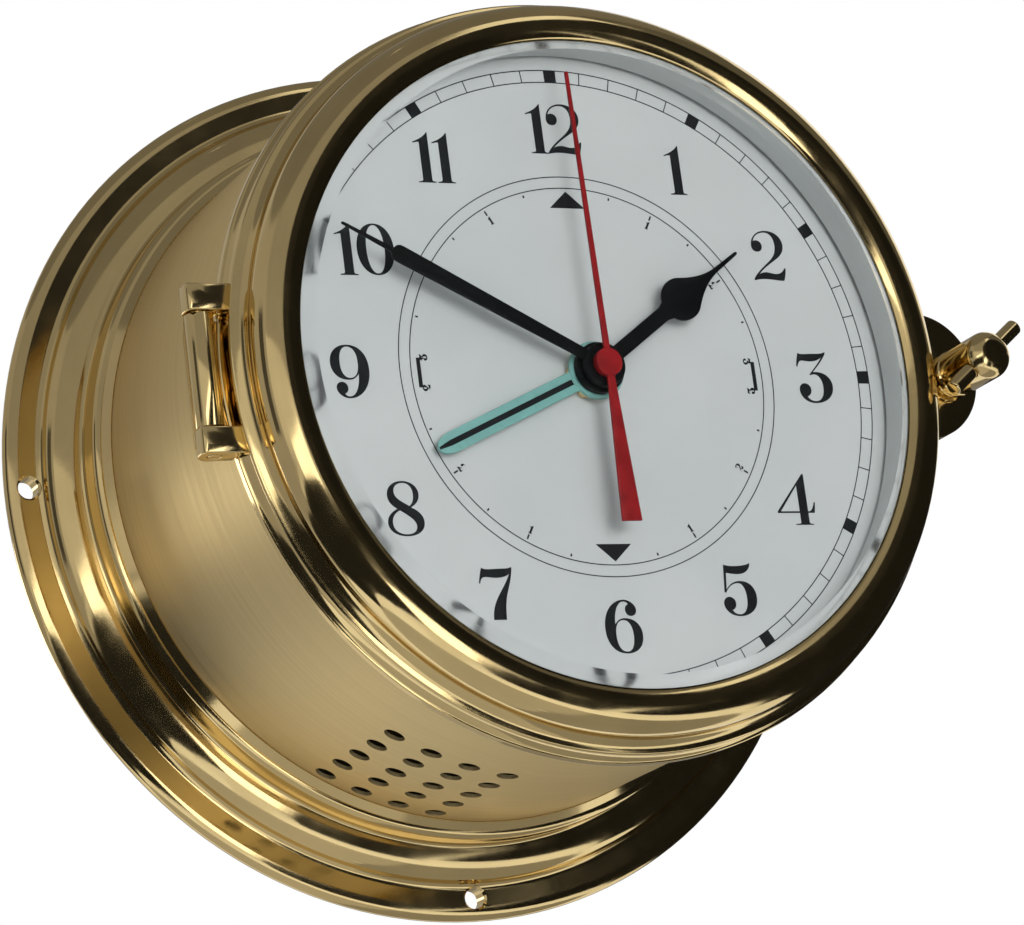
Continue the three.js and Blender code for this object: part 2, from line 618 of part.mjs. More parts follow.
function hingePinBody(radius, halfLength) {
  const geometry = new THREE.CylinderGeometry(radius, radius, 2 * halfLength, PIN_SIDES);
  geometry.rotateX(Math.PI / 2);
  geometry.translate(HINGE_X, -HINGE_DEPTH, 0);
  return toSolid(geometry);
}

function hingeBore() {
  return hingePinBody(HINGE_PIN_RADIUS + RUNNING_GAP, LUG_END + FIT_GAP);
}

// The knuckle's barrel and the leaf that carries it, shaped to the drum.
function caseHingeKnuckle() {
  const barrel = new THREE.Shape();
  barrel.absarc(HINGE_X, -HINGE_DEPTH, BARREL_RADIUS, 0, 2 * Math.PI);
  const leafFront = DRUM_LENGTH - FIT_GAP;
  const leafAngle = radians(HINGE_LEAF_DEG);
  const leaf = polygon([
    [HINGE_X + BARREL_RADIUS * Math.cos(leafAngle), -HINGE_DEPTH + BARREL_RADIUS * Math.sin(leafAngle)],
    [HINGE_X + BARREL_RADIUS, -HINGE_DEPTH],
    [HINGE_X + BARREL_RADIUS, -leafFront],
    [-DRUM_BORE, -leafFront],
    [-DRUM_BORE, -(leafFront - HINGE_LEAF_LENGTH)],
    [-(DRUM_RADIUS + HINGE_LEAF_TOE), -(leafFront - HINGE_LEAF_LENGTH)],
  ]);
  const half = BARREL_HALF_LENGTH;
  const drum = disc(SOCKET_BORE, 0, DRUM_LENGTH + FIT_GAP, RING_SIDES);
  return prism(barrel, -half, half).add(prism(leaf, -half, half)).subtract(drum).subtract(hingeBore());
}

addPart('bezel_ring', bezelRing(), polishedBrass);
addPart('bezel_glass', bezelGlass(), clearGlass);
addPart('glass_retaining_ring', glassRetainingRing(), satinBrass);
addPart('bezel_hinge_lug_upper', bezelHingeLug(LUG_START, LUG_END), polishedBrass);
addPart('bezel_hinge_lug_lower', bezelHingeLug(-LUG_END, -LUG_START), polishedBrass);
addPart('case_hinge_knuckle', caseHingeKnuckle(), polishedBrass);
addPart('hinge_pin', hingePinBody(HINGE_PIN_RADIUS, LUG_END), polishedBrass);

// Screw latch

const LATCH_AXIS = { x: LATCH_X, z: 0 };

function latchBore() {
  const rear = CASE_LUG_FRONT - CASE_LUG_THICKNESS - OVERCUT;
  return disc(LATCH_SHANK_RADIUS + FIT_GAP, rear, EAR_FRONT + OVERCUT, PIN_SIDES, LATCH_AXIS);
}

function bezelLatchEar() {
  const centre = { x: BEZEL_LIP_RADIUS - EAR_CENTRE_INSET, z: 0 };
  const rim = disc(BEZEL_LIP_RADIUS + FIT_GAP, EAR_REAR - OVERCUT, EAR_FRONT + OVERCUT, RING_SIDES);
  return disc(EAR_RADIUS, EAR_REAR, EAR_FRONT, 2 * SHAFT_SIDES, centre).subtract(rim).subtract(latchBore());
}

function caseLatchLug() {
  const outline = new THREE.Shape();
  outline.moveTo(DRUM_BORE, -CASE_LUG_HALF_WIDTH);
  outline.lineTo(LATCH_X, -CASE_LUG_HALF_WIDTH);
  outline.absarc(LATCH_X, 0, CASE_LUG_HALF_WIDTH, -Math.PI / 2, Math.PI / 2);
  outline.lineTo(DRUM_BORE, CASE_LUG_HALF_WIDTH);
  const drum = disc(SOCKET_BORE, 0, DRUM_LENGTH + OVERCUT, RING_SIDES);
  const body = plate(outline, CASE_LUG_FRONT - CASE_LUG_THICKNESS, CASE_LUG_FRONT);
  return body.subtract(drum).subtract(latchBore());
}

// A round bar through the latch screw's knob, square to the screw.
function tommyBar(radius, halfLength, round) {
  const geometry = new THREE.LatheGeometry([
    new THREE.Vector2(0, -halfLength),
    new THREE.Vector2(radius - round, -halfLength),
    new THREE.Vector2(radius, -halfLength + round),
    new THREE.Vector2(radius, halfLength - round),
    new THREE.Vector2(radius - round, halfLength),
    new THREE.Vector2(0, halfLength),
  ], PIN_SIDES);
  geometry.rotateX(Math.PI / 2);
  return spin(toSolid(geometry), TOMMY_BAR_DEG).translate([LATCH_X, -TOMMY_BAR_DEPTH, 0]);
}

function latchScrew() {
  const screw = turned([
    [0, LATCH_TIP], [LATCH_SHANK_RADIUS - FIT_GAP, LATCH_TIP], [LATCH_SHANK_RADIUS, LATCH_TIP + FIT_GAP],
    [LATCH_SHANK_RADIUS, KNOB_REAR], [KNOB_RADIUS - KNOB_CHAMFER, KNOB_REAR],
    [KNOB_RADIUS, KNOB_REAR + KNOB_CHAMFER], [KNOB_RADIUS, KNOB_FRONT - KNOB_ROUND],
    ...arc(KNOB_RADIUS - KNOB_ROUND, KNOB_FRONT - KNOB_ROUND, KNOB_ROUND, KNOB_ROUND, 0, 90, 3),
    [0, KNOB_FRONT],
  ], SHAFT_SIDES, LATCH_AXIS);
  return screw.subtract(tommyBar(TOMMY_BAR_RADIUS + RUNNING_GAP, KNOB_RADIUS + OVERCUT, SEAT_GAP));
}

const latchWasherBore = LATCH_SHANK_RADIUS + FIT_GAP;
const latchWasherFront = LATCH_WASHER_REAR + LATCH_WASHER_THICKNESS;
addPart('bezel_latch_ear', bezelLatchEar(), polishedBrass);
addPart('case_latch_lug', caseLatchLug(), polishedBrass);
addPart('latch_washer',
  ring(latchWasherBore, LATCH_WASHER_RADIUS, LATCH_WASHER_REAR, latchWasherFront, SHAFT_SIDES, LATCH_AXIS),
  polishedBrass);
addPart('latch_screw', latchScrew(), polishedBrass);
addPart('latch_tommy_bar',
  tommyBar(TOMMY_BAR_RADIUS, TOMMY_BAR_HALF_LENGTH, TOMMY_BAR_RADIUS / 2), polishedBrass);

// Movement housing, hung behind the dial by its bush and nut

const PIVOT_AXES = [MOTION_AXIS, INTERMEDIATE_AXIS, THIRD_AXIS, ROTOR_AXIS];

function pivotBores(solid, rear, front) {
  const bores = PIVOT_AXES.map((axis) => disc(ARBOR_RADIUS + RUNNING_GAP, rear, front, PIN_SIDES, axis));
  return bores.reduce((body, bore) => body.subtract(bore), solid);
}

function movementFrontShell() {
  const half = HOUSING_HALF_WIDTH;
  const inner = INNER_HALF_WIDTH;
  const innerTop = HOUSING_TOP - HOUSING_WALL;
  const outside = block(-half, half, COVER_FRONT + SEAT_GAP, HOUSING_FRONT, -HOUSING_BOTTOM, HOUSING_TOP);
  const trainSpace = block(-inner, inner, COVER_REAR, PLATE_REAR, -COVER_BOTTOM, innerTop);
  const bay = block(-BAY_HALF_WIDTH, BAY_HALF_WIDTH, COVER_REAR, PLATE_REAR,
    -BAY_BOTTOM, FIT_GAP - COVER_BOTTOM);
  const studRear = layerFront(HOUR_LAYER);
  const stud = disc(IDLER_STUD_RADIUS, studRear, HOUSING_FRONT - SEAT_GAP, PIN_SIDES, IDLER_AXIS);
  const shell = outside.subtract(trainSpace.add(bay)).add(stud);
  return pivotBores(shell, PLATE_REAR - END_PLAY, HOUSING_FRONT + OVERCUT)
    .subtract(disc(BUSH_HOLE_RADIUS, PLATE_REAR - END_PLAY, HOUSING_FRONT + OVERCUT));
}

function movementRearCover() {
  const half = HOUSING_HALF_WIDTH;
  const rear = COVER_REAR - OVERCUT;
  const front = COVER_FRONT + OVERCUT;
  const cover = block(-half, half, COVER_REAR, COVER_FRONT, -COVER_BOTTOM, HOUSING_TOP);
  return pivotBores(cover, rear, front)
    .subtract(disc(SECOND_ARBOR_RADIUS + RUNNING_GAP, rear, front, PIN_SIDES));
}

function fixingNut() {
  const circumradius = NUT_ACROSS_FLATS / 2 / Math.cos(Math.PI / 6);
  return disc(circumradius, NUT_REAR, NUT_FRONT, 6)
    .subtract(disc(BUSH_HOLE_RADIUS, NUT_REAR - OVERCUT, NUT_FRONT + OVERCUT));
}

addPart('movement_front_shell', movementFrontShell(), blackPlastic);
addPart('movement_rear_cover', movementRearCover(), whitePlastic);
addPart('centre_bush', ring(BUSH_BORE, BUSH_RADIUS, PLATE_REAR, NUT_FRONT), polishedBrass);
addPart('fixing_nut', fixingNut(), polishedBrass);
addPart('rubber_washer',
  ring(BUSH_HOLE_RADIUS, WASHER_RADIUS, HOUSING_FRONT + SEAT_GAP, DIAL_BACK - SEAT_GAP), blackRubber);

// Gear train

// The rear and front depths of a layer of wheels.
function layer(number) {
  const front = layerFront(number);
  return [front - GEAR_THICKNESS, front];
}

// A toothed disc with a tooth, or a gap, at a clock angle.
function gear(teeth, module, rear, front, axis, meshDeg, gapThere) {
  const pitchRadius = module * teeth / 2;
  const tip = pitchRadius + TOOTH_ADDENDUM * module;
  const root = tip - TOOTH_HEIGHT * module;
  const step = 360 / teeth;
  const start = meshDeg + (gapThere ? step / 2 : 0);
  const points = [];
  for (let i = 0; i < teeth; i += 1) {
    const tooth = around(axis, tip, start + i * step);
    const gap = around(axis, root, start + (i + 0.5) * step);
    points.push([tooth.x, tooth.z], [gap.x, gap.z]);
  }
  return plate(polygon(points), rear, front);
}

function pinion(teeth, module, number, axis, meshDeg) {
  const [rear, front] = layer(number);
  return gear(teeth, module, rear - PINION_OVERLAP, front + PINION_OVERLAP, axis, meshDeg, false);
}

function wheel(teeth, module, number, axis, meshDeg) {
  const [rear, front] = layer(number);
  return gear(teeth, module, rear, front, axis, meshDeg, true);
}

// Clock angle of one axis as seen from another.
function bearing(from, to) {
  return Math.atan2(to.x - from.x, to.z - from.z) * 180 / Math.PI;
}

function arbor(axis, rear, front, radius = ARBOR_RADIUS) {
  return disc(radius, rear, front, PIN_SIDES, axis);
}

const PIVOT_REAR = COVER_REAR + END_PLAY;
const PIVOT_FRONT = HOUSING_FRONT - END_PLAY;

function secondWheel() {
  const socketEnd = SECOND_HUB_REAR + HUB_HEIGHT / 2 - SEAT_GAP;
  const pinionModule = module(CENTRE_DISTANCE_INTERMEDIATE, TEETH.secondPinion, TEETH.intermediateWheel);
  return arbor(CENTRE, PIVOT_REAR, socketEnd, SECOND_ARBOR_RADIUS)
    .add(wheel(TEETH.secondWheel, SECOND_WHEEL_MODULE, SECOND_LAYER, CENTRE, bearing(CENTRE, THIRD_AXIS)))
    .add(pinion(TEETH.secondPinion, pinionModule, INTERMEDIATE_LAYER, CENTRE,
      bearing(CENTRE, INTERMEDIATE_AXIS)));
}

function minuteWheel() {
  const wheelModule = module(CENTRE_DISTANCE_INTERMEDIATE, TEETH.intermediatePinion, TEETH.minuteWheel);
  const [rear] = layer(MINUTE_LAYER);
  return disc(MINUTE_TUBE_RADIUS, rear, MINUTE_HUB_REAR + HUB_HEIGHT)
    .add(wheel(TEETH.minuteWheel, wheelModule, MINUTE_LAYER, CENTRE, bearing(CENTRE, INTERMEDIATE_AXIS)))
    .add(pinion(TEETH.cannonPinion, MOTION_MODULE, MOTION_LAYER, CENTRE, bearing(CENTRE, MOTION_AXIS)))
    .subtract(disc(MINUTE_TUBE_BORE, rear - OVERCUT, SECOND_HUB_REAR));
}

function hourWheel() {
  const wheelModule = module(MOTION_X, TEETH.motionPinion, TEETH.hourWheel);
  const driverModule = module(CENTRE_DISTANCE_TIDE, TEETH.tideDriver, TEETH.tideIdler);
  const [rear] = layer(HOUR_LAYER);
  return disc(HOUR_TUBE_RADIUS, rear, HOUR_HUB_REAR + HUB_HEIGHT)
    .add(wheel(TEETH.hourWheel, wheelModule, HOUR_LAYER, CENTRE, bearing(CENTRE, MOTION_AXIS)))
    .add(wheel(TEETH.tideDriver, driverModule, DRIVER_LAYER, CENTRE, IDLER_DEG))
    .subtract(disc(HOUR_TUBE_BORE, rear - OVERCUT, MINUTE_HUB_REAR));
}

function tideWheel() {
  const wheelModule = module(CENTRE_DISTANCE_TIDE, TEETH.tideWheel, TEETH.tideIdler);
  const [rear] = layer(TIDE_LAYER);
  return disc(TIDE_TUBE_RADIUS, rear, TIDE_HUB_REAR + TIDE_HUB_HEIGHT)
    .add(wheel(TEETH.tideWheel, wheelModule, TIDE_LAYER, CENTRE, IDLER_DEG))
    .subtract(disc(TIDE_TUBE_BORE, rear - OVERCUT, HOUR_HUB_REAR));
}

function intermediateWheel() {
  const wheelModule = module(CENTRE_DISTANCE_INTERMEDIATE, TEETH.secondPinion, TEETH.intermediateWheel);
  const pinionModule = module(CENTRE_DISTANCE_INTERMEDIATE, TEETH.intermediatePinion, TEETH.minuteWheel);
  const toCentre = bearing(INTERMEDIATE_AXIS, CENTRE);
  return arbor(INTERMEDIATE_AXIS, PIVOT_REAR, PIVOT_FRONT)
    .add(wheel(TEETH.intermediateWheel, wheelModule, INTERMEDIATE_LAYER, INTERMEDIATE_AXIS, toCentre))
    .add(pinion(TEETH.intermediatePinion, pinionModule, MINUTE_LAYER, INTERMEDIATE_AXIS, toCentre));
}

function thirdWheel() {
  return arbor(THIRD_AXIS, PIVOT_REAR, PIVOT_FRONT)
    .add(wheel(TEETH.thirdWheel, THIRD_WHEEL_MODULE, THIRD_LAYER, THIRD_AXIS, ROTOR_DEG))
    .add(pinion(TEETH.thirdPinion, SECOND_WHEEL_MODULE, SECOND_LAYER, THIRD_AXIS,
      bearing(THIRD_AXIS, CENTRE)));
}

function motorRotor() {
  const middle = (STATOR_FRONT + STATOR_REAR) / 2;
  const half = ROTOR_MAGNET_LENGTH / 2;
  return arbor(ROTOR_AXIS, PIVOT_REAR, PIVOT_FRONT)
    .add(disc(ROTOR_MAGNET_RADIUS, middle - half, middle + half, SHAFT_SIDES, ROTOR_AXIS))
    .add(pinion(TEETH.rotorPinion, THIRD_WHEEL_MODULE, THIRD_LAYER, ROTOR_AXIS,
      bearing(ROTOR_AXIS, THIRD_AXIS)));
}

// The motion wheel's arbor leaves the rear cover and carries the setting knob.
function motionWheel() {
  const pinionModule = module(MOTION_X, TEETH.motionPinion, TEETH.hourWheel);
  const toCentre = bearing(MOTION_AXIS, CENTRE);
  const shaftRear = COVER_REAR - END_PLAY - SETTING_KNOB_HEIGHT / 2;
  return arbor(MOTION_AXIS, shaftRear, PIVOT_FRONT)
    .add(wheel(TEETH.motionWheel, MOTION_MODULE, MOTION_LAYER, MOTION_AXIS, toCentre))
    .add(pinion(TEETH.motionPinion, pinionModule, HOUR_LAYER, MOTION_AXIS, toCentre));
}

function timeSettingKnob() {
  const front = COVER_REAR - END_PLAY;
  const rear = front - SETTING_KNOB_HEIGHT;
  const step = 180 / SETTING_KNOB_FLUTES;
  const points = [];
  for (let i = 0; i < 2 * SETTING_KNOB_FLUTES; i += 1) {
    const radius = i % 2 ? SETTING_KNOB_RADIUS : SETTING_KNOB_RADIUS - SETTING_KNOB_FLUTE;
    const point = around(MOTION_AXIS, radius, i * step);
    points.push([point.x, point.z]);
  }
  const socketRear = rear + SETTING_KNOB_HEIGHT / 2 - BUSH_FIT;
  const socket = disc(ARBOR_RADIUS + BUSH_FIT, socketRear, front + OVERCUT, PIN_SIDES, MOTION_AXIS);
  return plate(polygon(points), rear, front).subtract(socket);
}

function tideIdler() {
  const driverModule = module(CENTRE_DISTANCE_TIDE, TEETH.tideDriver, TEETH.tideIdler);
  const wheelModule = module(CENTRE_DISTANCE_TIDE, TEETH.tideWheel, TEETH.tideIdler);
  const toCentre = bearing(IDLER_AXIS, CENTRE);
  const [upperRear, upperFront] = layer(TIDE_LAYER);
  const [lowerRear] = layer(DRIVER_LAYER);
  const split = upperRear - PINION_OVERLAP;
  return gear(TEETH.tideIdler, wheelModule, split, upperFront + PINION_OVERLAP, IDLER_AXIS, toCentre, false)
    .add(gear(TEETH.tideIdler, driverModule, lowerRear - PINION_OVERLAP, split, IDLER_AXIS, toCentre, false))
    .subtract(disc(IDLER_STUD_RADIUS + RUNNING_GAP, lowerRear - OVERCUT, PLATE_REAR, PIN_SIDES, IDLER_AXIS));
}

addPart('second_wheel', secondWheel(), whitePlastic);
addPart('minute_wheel', minuteWheel(), whitePlastic);
addPart('hour_wheel', hourWheel(), whitePlastic);
addPart('tide_wheel', tideWheel(), whitePlastic);
addPart('intermediate_wheel', intermediateWheel(), whitePlastic);
addPart('third_wheel', thirdWheel(), whitePlastic);
addPart('motor_rotor', motorRotor(), steel);
addPart('motion_wheel', motionWheel(), whitePlastic);
addPart('time_setting_knob', timeSettingKnob(), blackPlastic);
addPart('tide_idler', tideIdler(), whitePlastic);

// Stepping motor, circuit and cell

const CORE_LOW = ROTOR_AXIS.z - CORE_WIDTH / 2;
const CORE_HIGH = ROTOR_AXIS.z + CORE_WIDTH / 2;

function statorPlate() {
  const yoke = STATOR_YOKE;
  const end = COIL_END + FIT_GAP;
  const outline = polygon([
    [ROTOR_AXIS.x - yoke, ROTOR_AXIS.z - yoke], [ROTOR_AXIS.x + yoke, ROTOR_AXIS.z - yoke],
    [ROTOR_AXIS.x + yoke, CORE_LOW], [end, CORE_LOW],
    [end, CORE_HIGH], [ROTOR_AXIS.x + yoke, CORE_HIGH],
    [ROTOR_AXIS.x + yoke, ROTOR_AXIS.z + yoke], [ROTOR_AXIS.x - yoke, ROTOR_AXIS.z + yoke],
  ]);
  return plate(outline, STATOR_REAR, STATOR_FRONT)
    .subtract(disc(STATOR_BORE, STATOR_REAR - OVERCUT, STATOR_FRONT + OVERCUT, SHAFT_SIDES, ROTOR_AXIS));
}

function driveCoil() {
  const reach = COIL_WINDING + FIT_GAP;
  const winding = block(COIL_START, COIL_END, STATOR_REAR - reach, STATOR_FRONT + reach,
    CORE_LOW - reach, CORE_HIGH + reach);
  const window = block(COIL_START - OVERCUT, COIL_END + OVERCUT,
    STATOR_REAR - FIT_GAP, STATOR_FRONT + FIT_GAP, CORE_LOW - FIT_GAP, CORE_HIGH + FIT_GAP);
  return winding.subtract(window);
}

const BOARD_REAR = STATOR_FRONT + COIL_WINDING + 2 * FIT_GAP;
const BOARD_FRONT = BOARD_REAR + BOARD_THICKNESS;
const BOARD_TOP = HOUSING_TOP - HOUSING_WALL - FIT_GAP;

function circuitBoard() {
  const halfWidth = INNER_HALF_WIDTH - BOARD_SIDE_GAP;
  return block(-halfWidth, halfWidth, BOARD_REAR, BOARD_FRONT, BOARD_TOP - BOARD_HEIGHT, BOARD_TOP)
    .subtract(disc(2 * ARBOR_RADIUS, BOARD_REAR - OVERCUT, BOARD_FRONT + OVERCUT, PIN_SIDES, ROTOR_AXIS));
}

function quartzCrystal() {
  const geometry = new THREE.CylinderGeometry(CRYSTAL_RADIUS, CRYSTAL_RADIUS, CRYSTAL_LENGTH, PIN_SIDES);
  geometry.rotateZ(Math.PI / 2);
  geometry.translate(CRYSTAL_X, -(BOARD_FRONT + END_PLAY + CRYSTAL_RADIUS), BOARD_TOP - BOARD_HEIGHT / 2);
  return toSolid(geometry);
}

function batteryCell() {
  const half = CELL_LENGTH / 2;
  const shoulder = half - CELL_NIPPLE;
  const geometry = new THREE.LatheGeometry([
    new THREE.Vector2(0, -half), new THREE.Vector2(CELL_RADIUS, -half),
    new THREE.Vector2(CELL_RADIUS, shoulder), new THREE.Vector2(CELL_NIPPLE_RADIUS, shoulder),
    new THREE.Vector2(CELL_NIPPLE_RADIUS, half), new THREE.Vector2(0, half),
  ], SHAFT_SIDES);
  geometry.rotateZ(-Math.PI / 2);
  geometry.translate(0, -CELL_DEPTH, CELL_Z);
  return toSolid(geometry);
}

// A leaf of spring metal that stands against the housing's wall and bears on an end of the cell.
function batteryContact(side) {
  const wall = BAY_HALF_WIDTH - END_PLAY;
  const bearingX = CELL_LENGTH / 2 + END_PLAY;
  const half = CONTACT_HEIGHT / 2;
  const leaf = polygon([
    [side * wall, -(CELL_DEPTH - half)], [side * wall, -(CELL_DEPTH + half)],
    [side * (wall - CONTACT_THICKNESS), -(CELL_DEPTH + half)],
    [side * bearingX, -CELL_DEPTH - CONTACT_THICKNESS], [side * bearingX, -CELL_DEPTH + CONTACT_THICKNESS],
    [side * (wall - CONTACT_THICKNESS), -(CELL_DEPTH - half)],
  ]);
  return prism(leaf, CELL_Z - half, CELL_Z + half);
}

addPart('stator_plate', statorPlate(), steel);
addPart('drive_coil', driveCoil(), copper);
addPart('circuit_board', circuitBoard(), greenBoard);
addPart('quartz_crystal', quartzCrystal(), steel);
addPart('battery_cell', batteryCell(), cellWrap);
addPart('battery_contact_positive', batteryContact(1), steel);
addPart('battery_contact_negative', batteryContact(-1), steel);

// Hands, drawn pointing at 12 o'clock and turned to their clock angle

function hub(radius, bore, rear, height) {
  return ring(bore + BUSH_FIT, radius, rear, rear + height);
}

function hand(blade, hubSolid, bore, rear, clockDeg) {
  const body = plate(blade, rear, rear + HAND_THICKNESS, 6).add(hubSolid);
  const cut = disc(bore + BUSH_FIT, rear - HUB_HEIGHT, rear + HUB_HEIGHT);
  return spin(bore ? body.subtract(cut) : body, clockDeg);
}

function tideHand() {
  const half = TIDE_HAND_WIDTH / 2;
  const blade = new THREE.Shape();
  blade.moveTo(-half, 0);
  blade.lineTo(-half, TIDE_HAND_LENGTH - half);
  blade.absarc(0, TIDE_HAND_LENGTH - half, half, Math.PI, 0, true);
  blade.lineTo(half, 0);
  const hubSolid = hub(TIDE_HUB_RADIUS, TIDE_TUBE_RADIUS, TIDE_HUB_REAR, TIDE_HUB_HEIGHT);
  return hand(blade, hubSolid, TIDE_TUBE_RADIUS, TIDE_HUB_REAR + SEAT_GAP, TIDE_HAND_DEG);
}

function hourHand() {
  const stem = HOUR_STEM_WIDTH / 2;
  const bulb = HOUR_BULB_WIDTH / 2;
  const tip = HOUR_TIP_WIDTH / 2;
  const stemAngle = Math.asin(stem / bulb);
  const shoulder = radians(HOUR_SHOULDER_DEG);
  const taperEnd = HOUR_BULB_RADIUS + HOUR_TAPER;
  const shoulderX = bulb * Math.cos(shoulder);
  const shoulderZ = HOUR_BULB_RADIUS + bulb * Math.sin(shoulder);
  const taperBend = (HOUR_BULB_RADIUS + bulb + taperEnd) / 2 - stem;
  const blade = new THREE.Shape();
  blade.moveTo(-stem, 0);
  blade.absarc(0, HOUR_BULB_RADIUS, bulb, -Math.PI / 2 - stemAngle, -Math.PI - shoulder, true);
  blade.quadraticCurveTo(-tip, taperBend, -tip, taperEnd);
  blade.lineTo(-tip, HOUR_HAND_LENGTH);
  blade.lineTo(tip, HOUR_HAND_LENGTH);
  blade.lineTo(tip, taperEnd);
  blade.quadraticCurveTo(tip, taperBend, shoulderX, shoulderZ);
  blade.absarc(0, HOUR_BULB_RADIUS, bulb, shoulder, stemAngle - Math.PI / 2, true);
  blade.lineTo(stem, 0);
  const hubSolid = hub(HOUR_HUB_RADIUS, HOUR_TUBE_RADIUS, HOUR_HUB_REAR, HUB_HEIGHT);
  return hand(blade, hubSolid, HOUR_TUBE_RADIUS, HOUR_HUB_REAR + HUB_HEIGHT / 2, HOUR_HAND_DEG);
}

function minuteHand() {
  const root = MINUTE_ROOT_WIDTH / 2;
  const wide = MINUTE_BLADE_WIDTH / 2;
  const tip = MINUTE_TIP_WIDTH / 2;
  const blade = polygon([
    [-root, 0], [-wide, MINUTE_BLADE_LENGTH], [-tip, MINUTE_BLADE_LENGTH + wide], [-tip, MINUTE_HAND_LENGTH],
    [tip, MINUTE_HAND_LENGTH], [tip, MINUTE_BLADE_LENGTH + wide], [wide, MINUTE_BLADE_LENGTH], [root, 0],
  ]);
  const hubSolid = hub(MINUTE_HUB_RADIUS, MINUTE_TUBE_RADIUS, MINUTE_HUB_REAR, HUB_HEIGHT);
  return hand(blade, hubSolid, MINUTE_TUBE_RADIUS, MINUTE_HUB_REAR + HUB_HEIGHT / 2, MINUTE_HAND_DEG);
}

function secondHand() {
  const root = SECOND_ROOT_WIDTH / 2;
  const tip = SECOND_TIP_WIDTH / 2;
  const tail = SECOND_TAIL_WIDTH / 2;
  const blade = polygon([
    [-tip, SECOND_HAND_LENGTH], [tip, SECOND_HAND_LENGTH], [root, 0],
    [tail, -SECOND_TAIL_LENGTH], [-tail, -SECOND_TAIL_LENGTH], [-root, 0],
  ]);
  const rear = SECOND_HUB_REAR + HUB_HEIGHT / 2;
  const socket = disc(SECOND_ARBOR_RADIUS + BUSH_FIT, SECOND_HUB_REAR - OVERCUT, rear, PIN_SIDES);
  const hubSolid = disc(SECOND_HUB_RADIUS, SECOND_HUB_REAR, SECOND_HUB_REAR + HUB_HEIGHT);
  return hand(blade, hubSolid, 0, rear, SECOND_HAND_DEG).subtract(socket);
}

addPart('tide_hand', tideHand(), aquaPlastic);
addPart('hour_hand', hourHand(), blackLacquer);
addPart('minute_hand', minuteHand(), blackLacquer);
addPart('second_hand', secondHand(), redLacquer);

export default clock;
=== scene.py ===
"""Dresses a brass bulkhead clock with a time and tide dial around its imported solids.

Sizes in the drawings below are millimetres, a depth is a distance forward of the wall,
and a clock angle is in degrees from 12 o'clock. The scene itself is in metres.
"""

import json
import math

import bmesh
import bpy
from bpy.props import FloatProperty, FloatVectorProperty, IntProperty, PointerProperty
from mathutils import Matrix, Vector


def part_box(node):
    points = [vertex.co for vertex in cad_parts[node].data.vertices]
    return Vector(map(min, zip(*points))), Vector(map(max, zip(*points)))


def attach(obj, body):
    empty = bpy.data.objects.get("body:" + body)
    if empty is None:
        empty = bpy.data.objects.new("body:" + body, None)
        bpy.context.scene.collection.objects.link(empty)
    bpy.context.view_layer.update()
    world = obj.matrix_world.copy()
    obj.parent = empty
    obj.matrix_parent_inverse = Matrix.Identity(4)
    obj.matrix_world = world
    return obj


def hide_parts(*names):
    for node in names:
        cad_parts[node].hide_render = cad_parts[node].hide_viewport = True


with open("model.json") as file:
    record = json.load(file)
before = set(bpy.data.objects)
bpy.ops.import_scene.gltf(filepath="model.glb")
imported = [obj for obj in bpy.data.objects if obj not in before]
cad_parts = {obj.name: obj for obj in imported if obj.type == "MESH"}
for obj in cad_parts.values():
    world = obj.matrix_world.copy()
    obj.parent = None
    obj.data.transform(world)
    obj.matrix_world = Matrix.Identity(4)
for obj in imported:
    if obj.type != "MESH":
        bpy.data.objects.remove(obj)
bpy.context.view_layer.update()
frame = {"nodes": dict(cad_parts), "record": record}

bl_info = {
    "name": "Bulkhead clock",
    "version": (1, 0, 0),
    "blender": (4, 5, 0),
    "location": "3D View > Sidebar > Clock",
    "description": "Models the visible pieces of a brass bulkhead clock with a time and tide dial",
    "category": "Add Mesh",
}

MM = 0.001

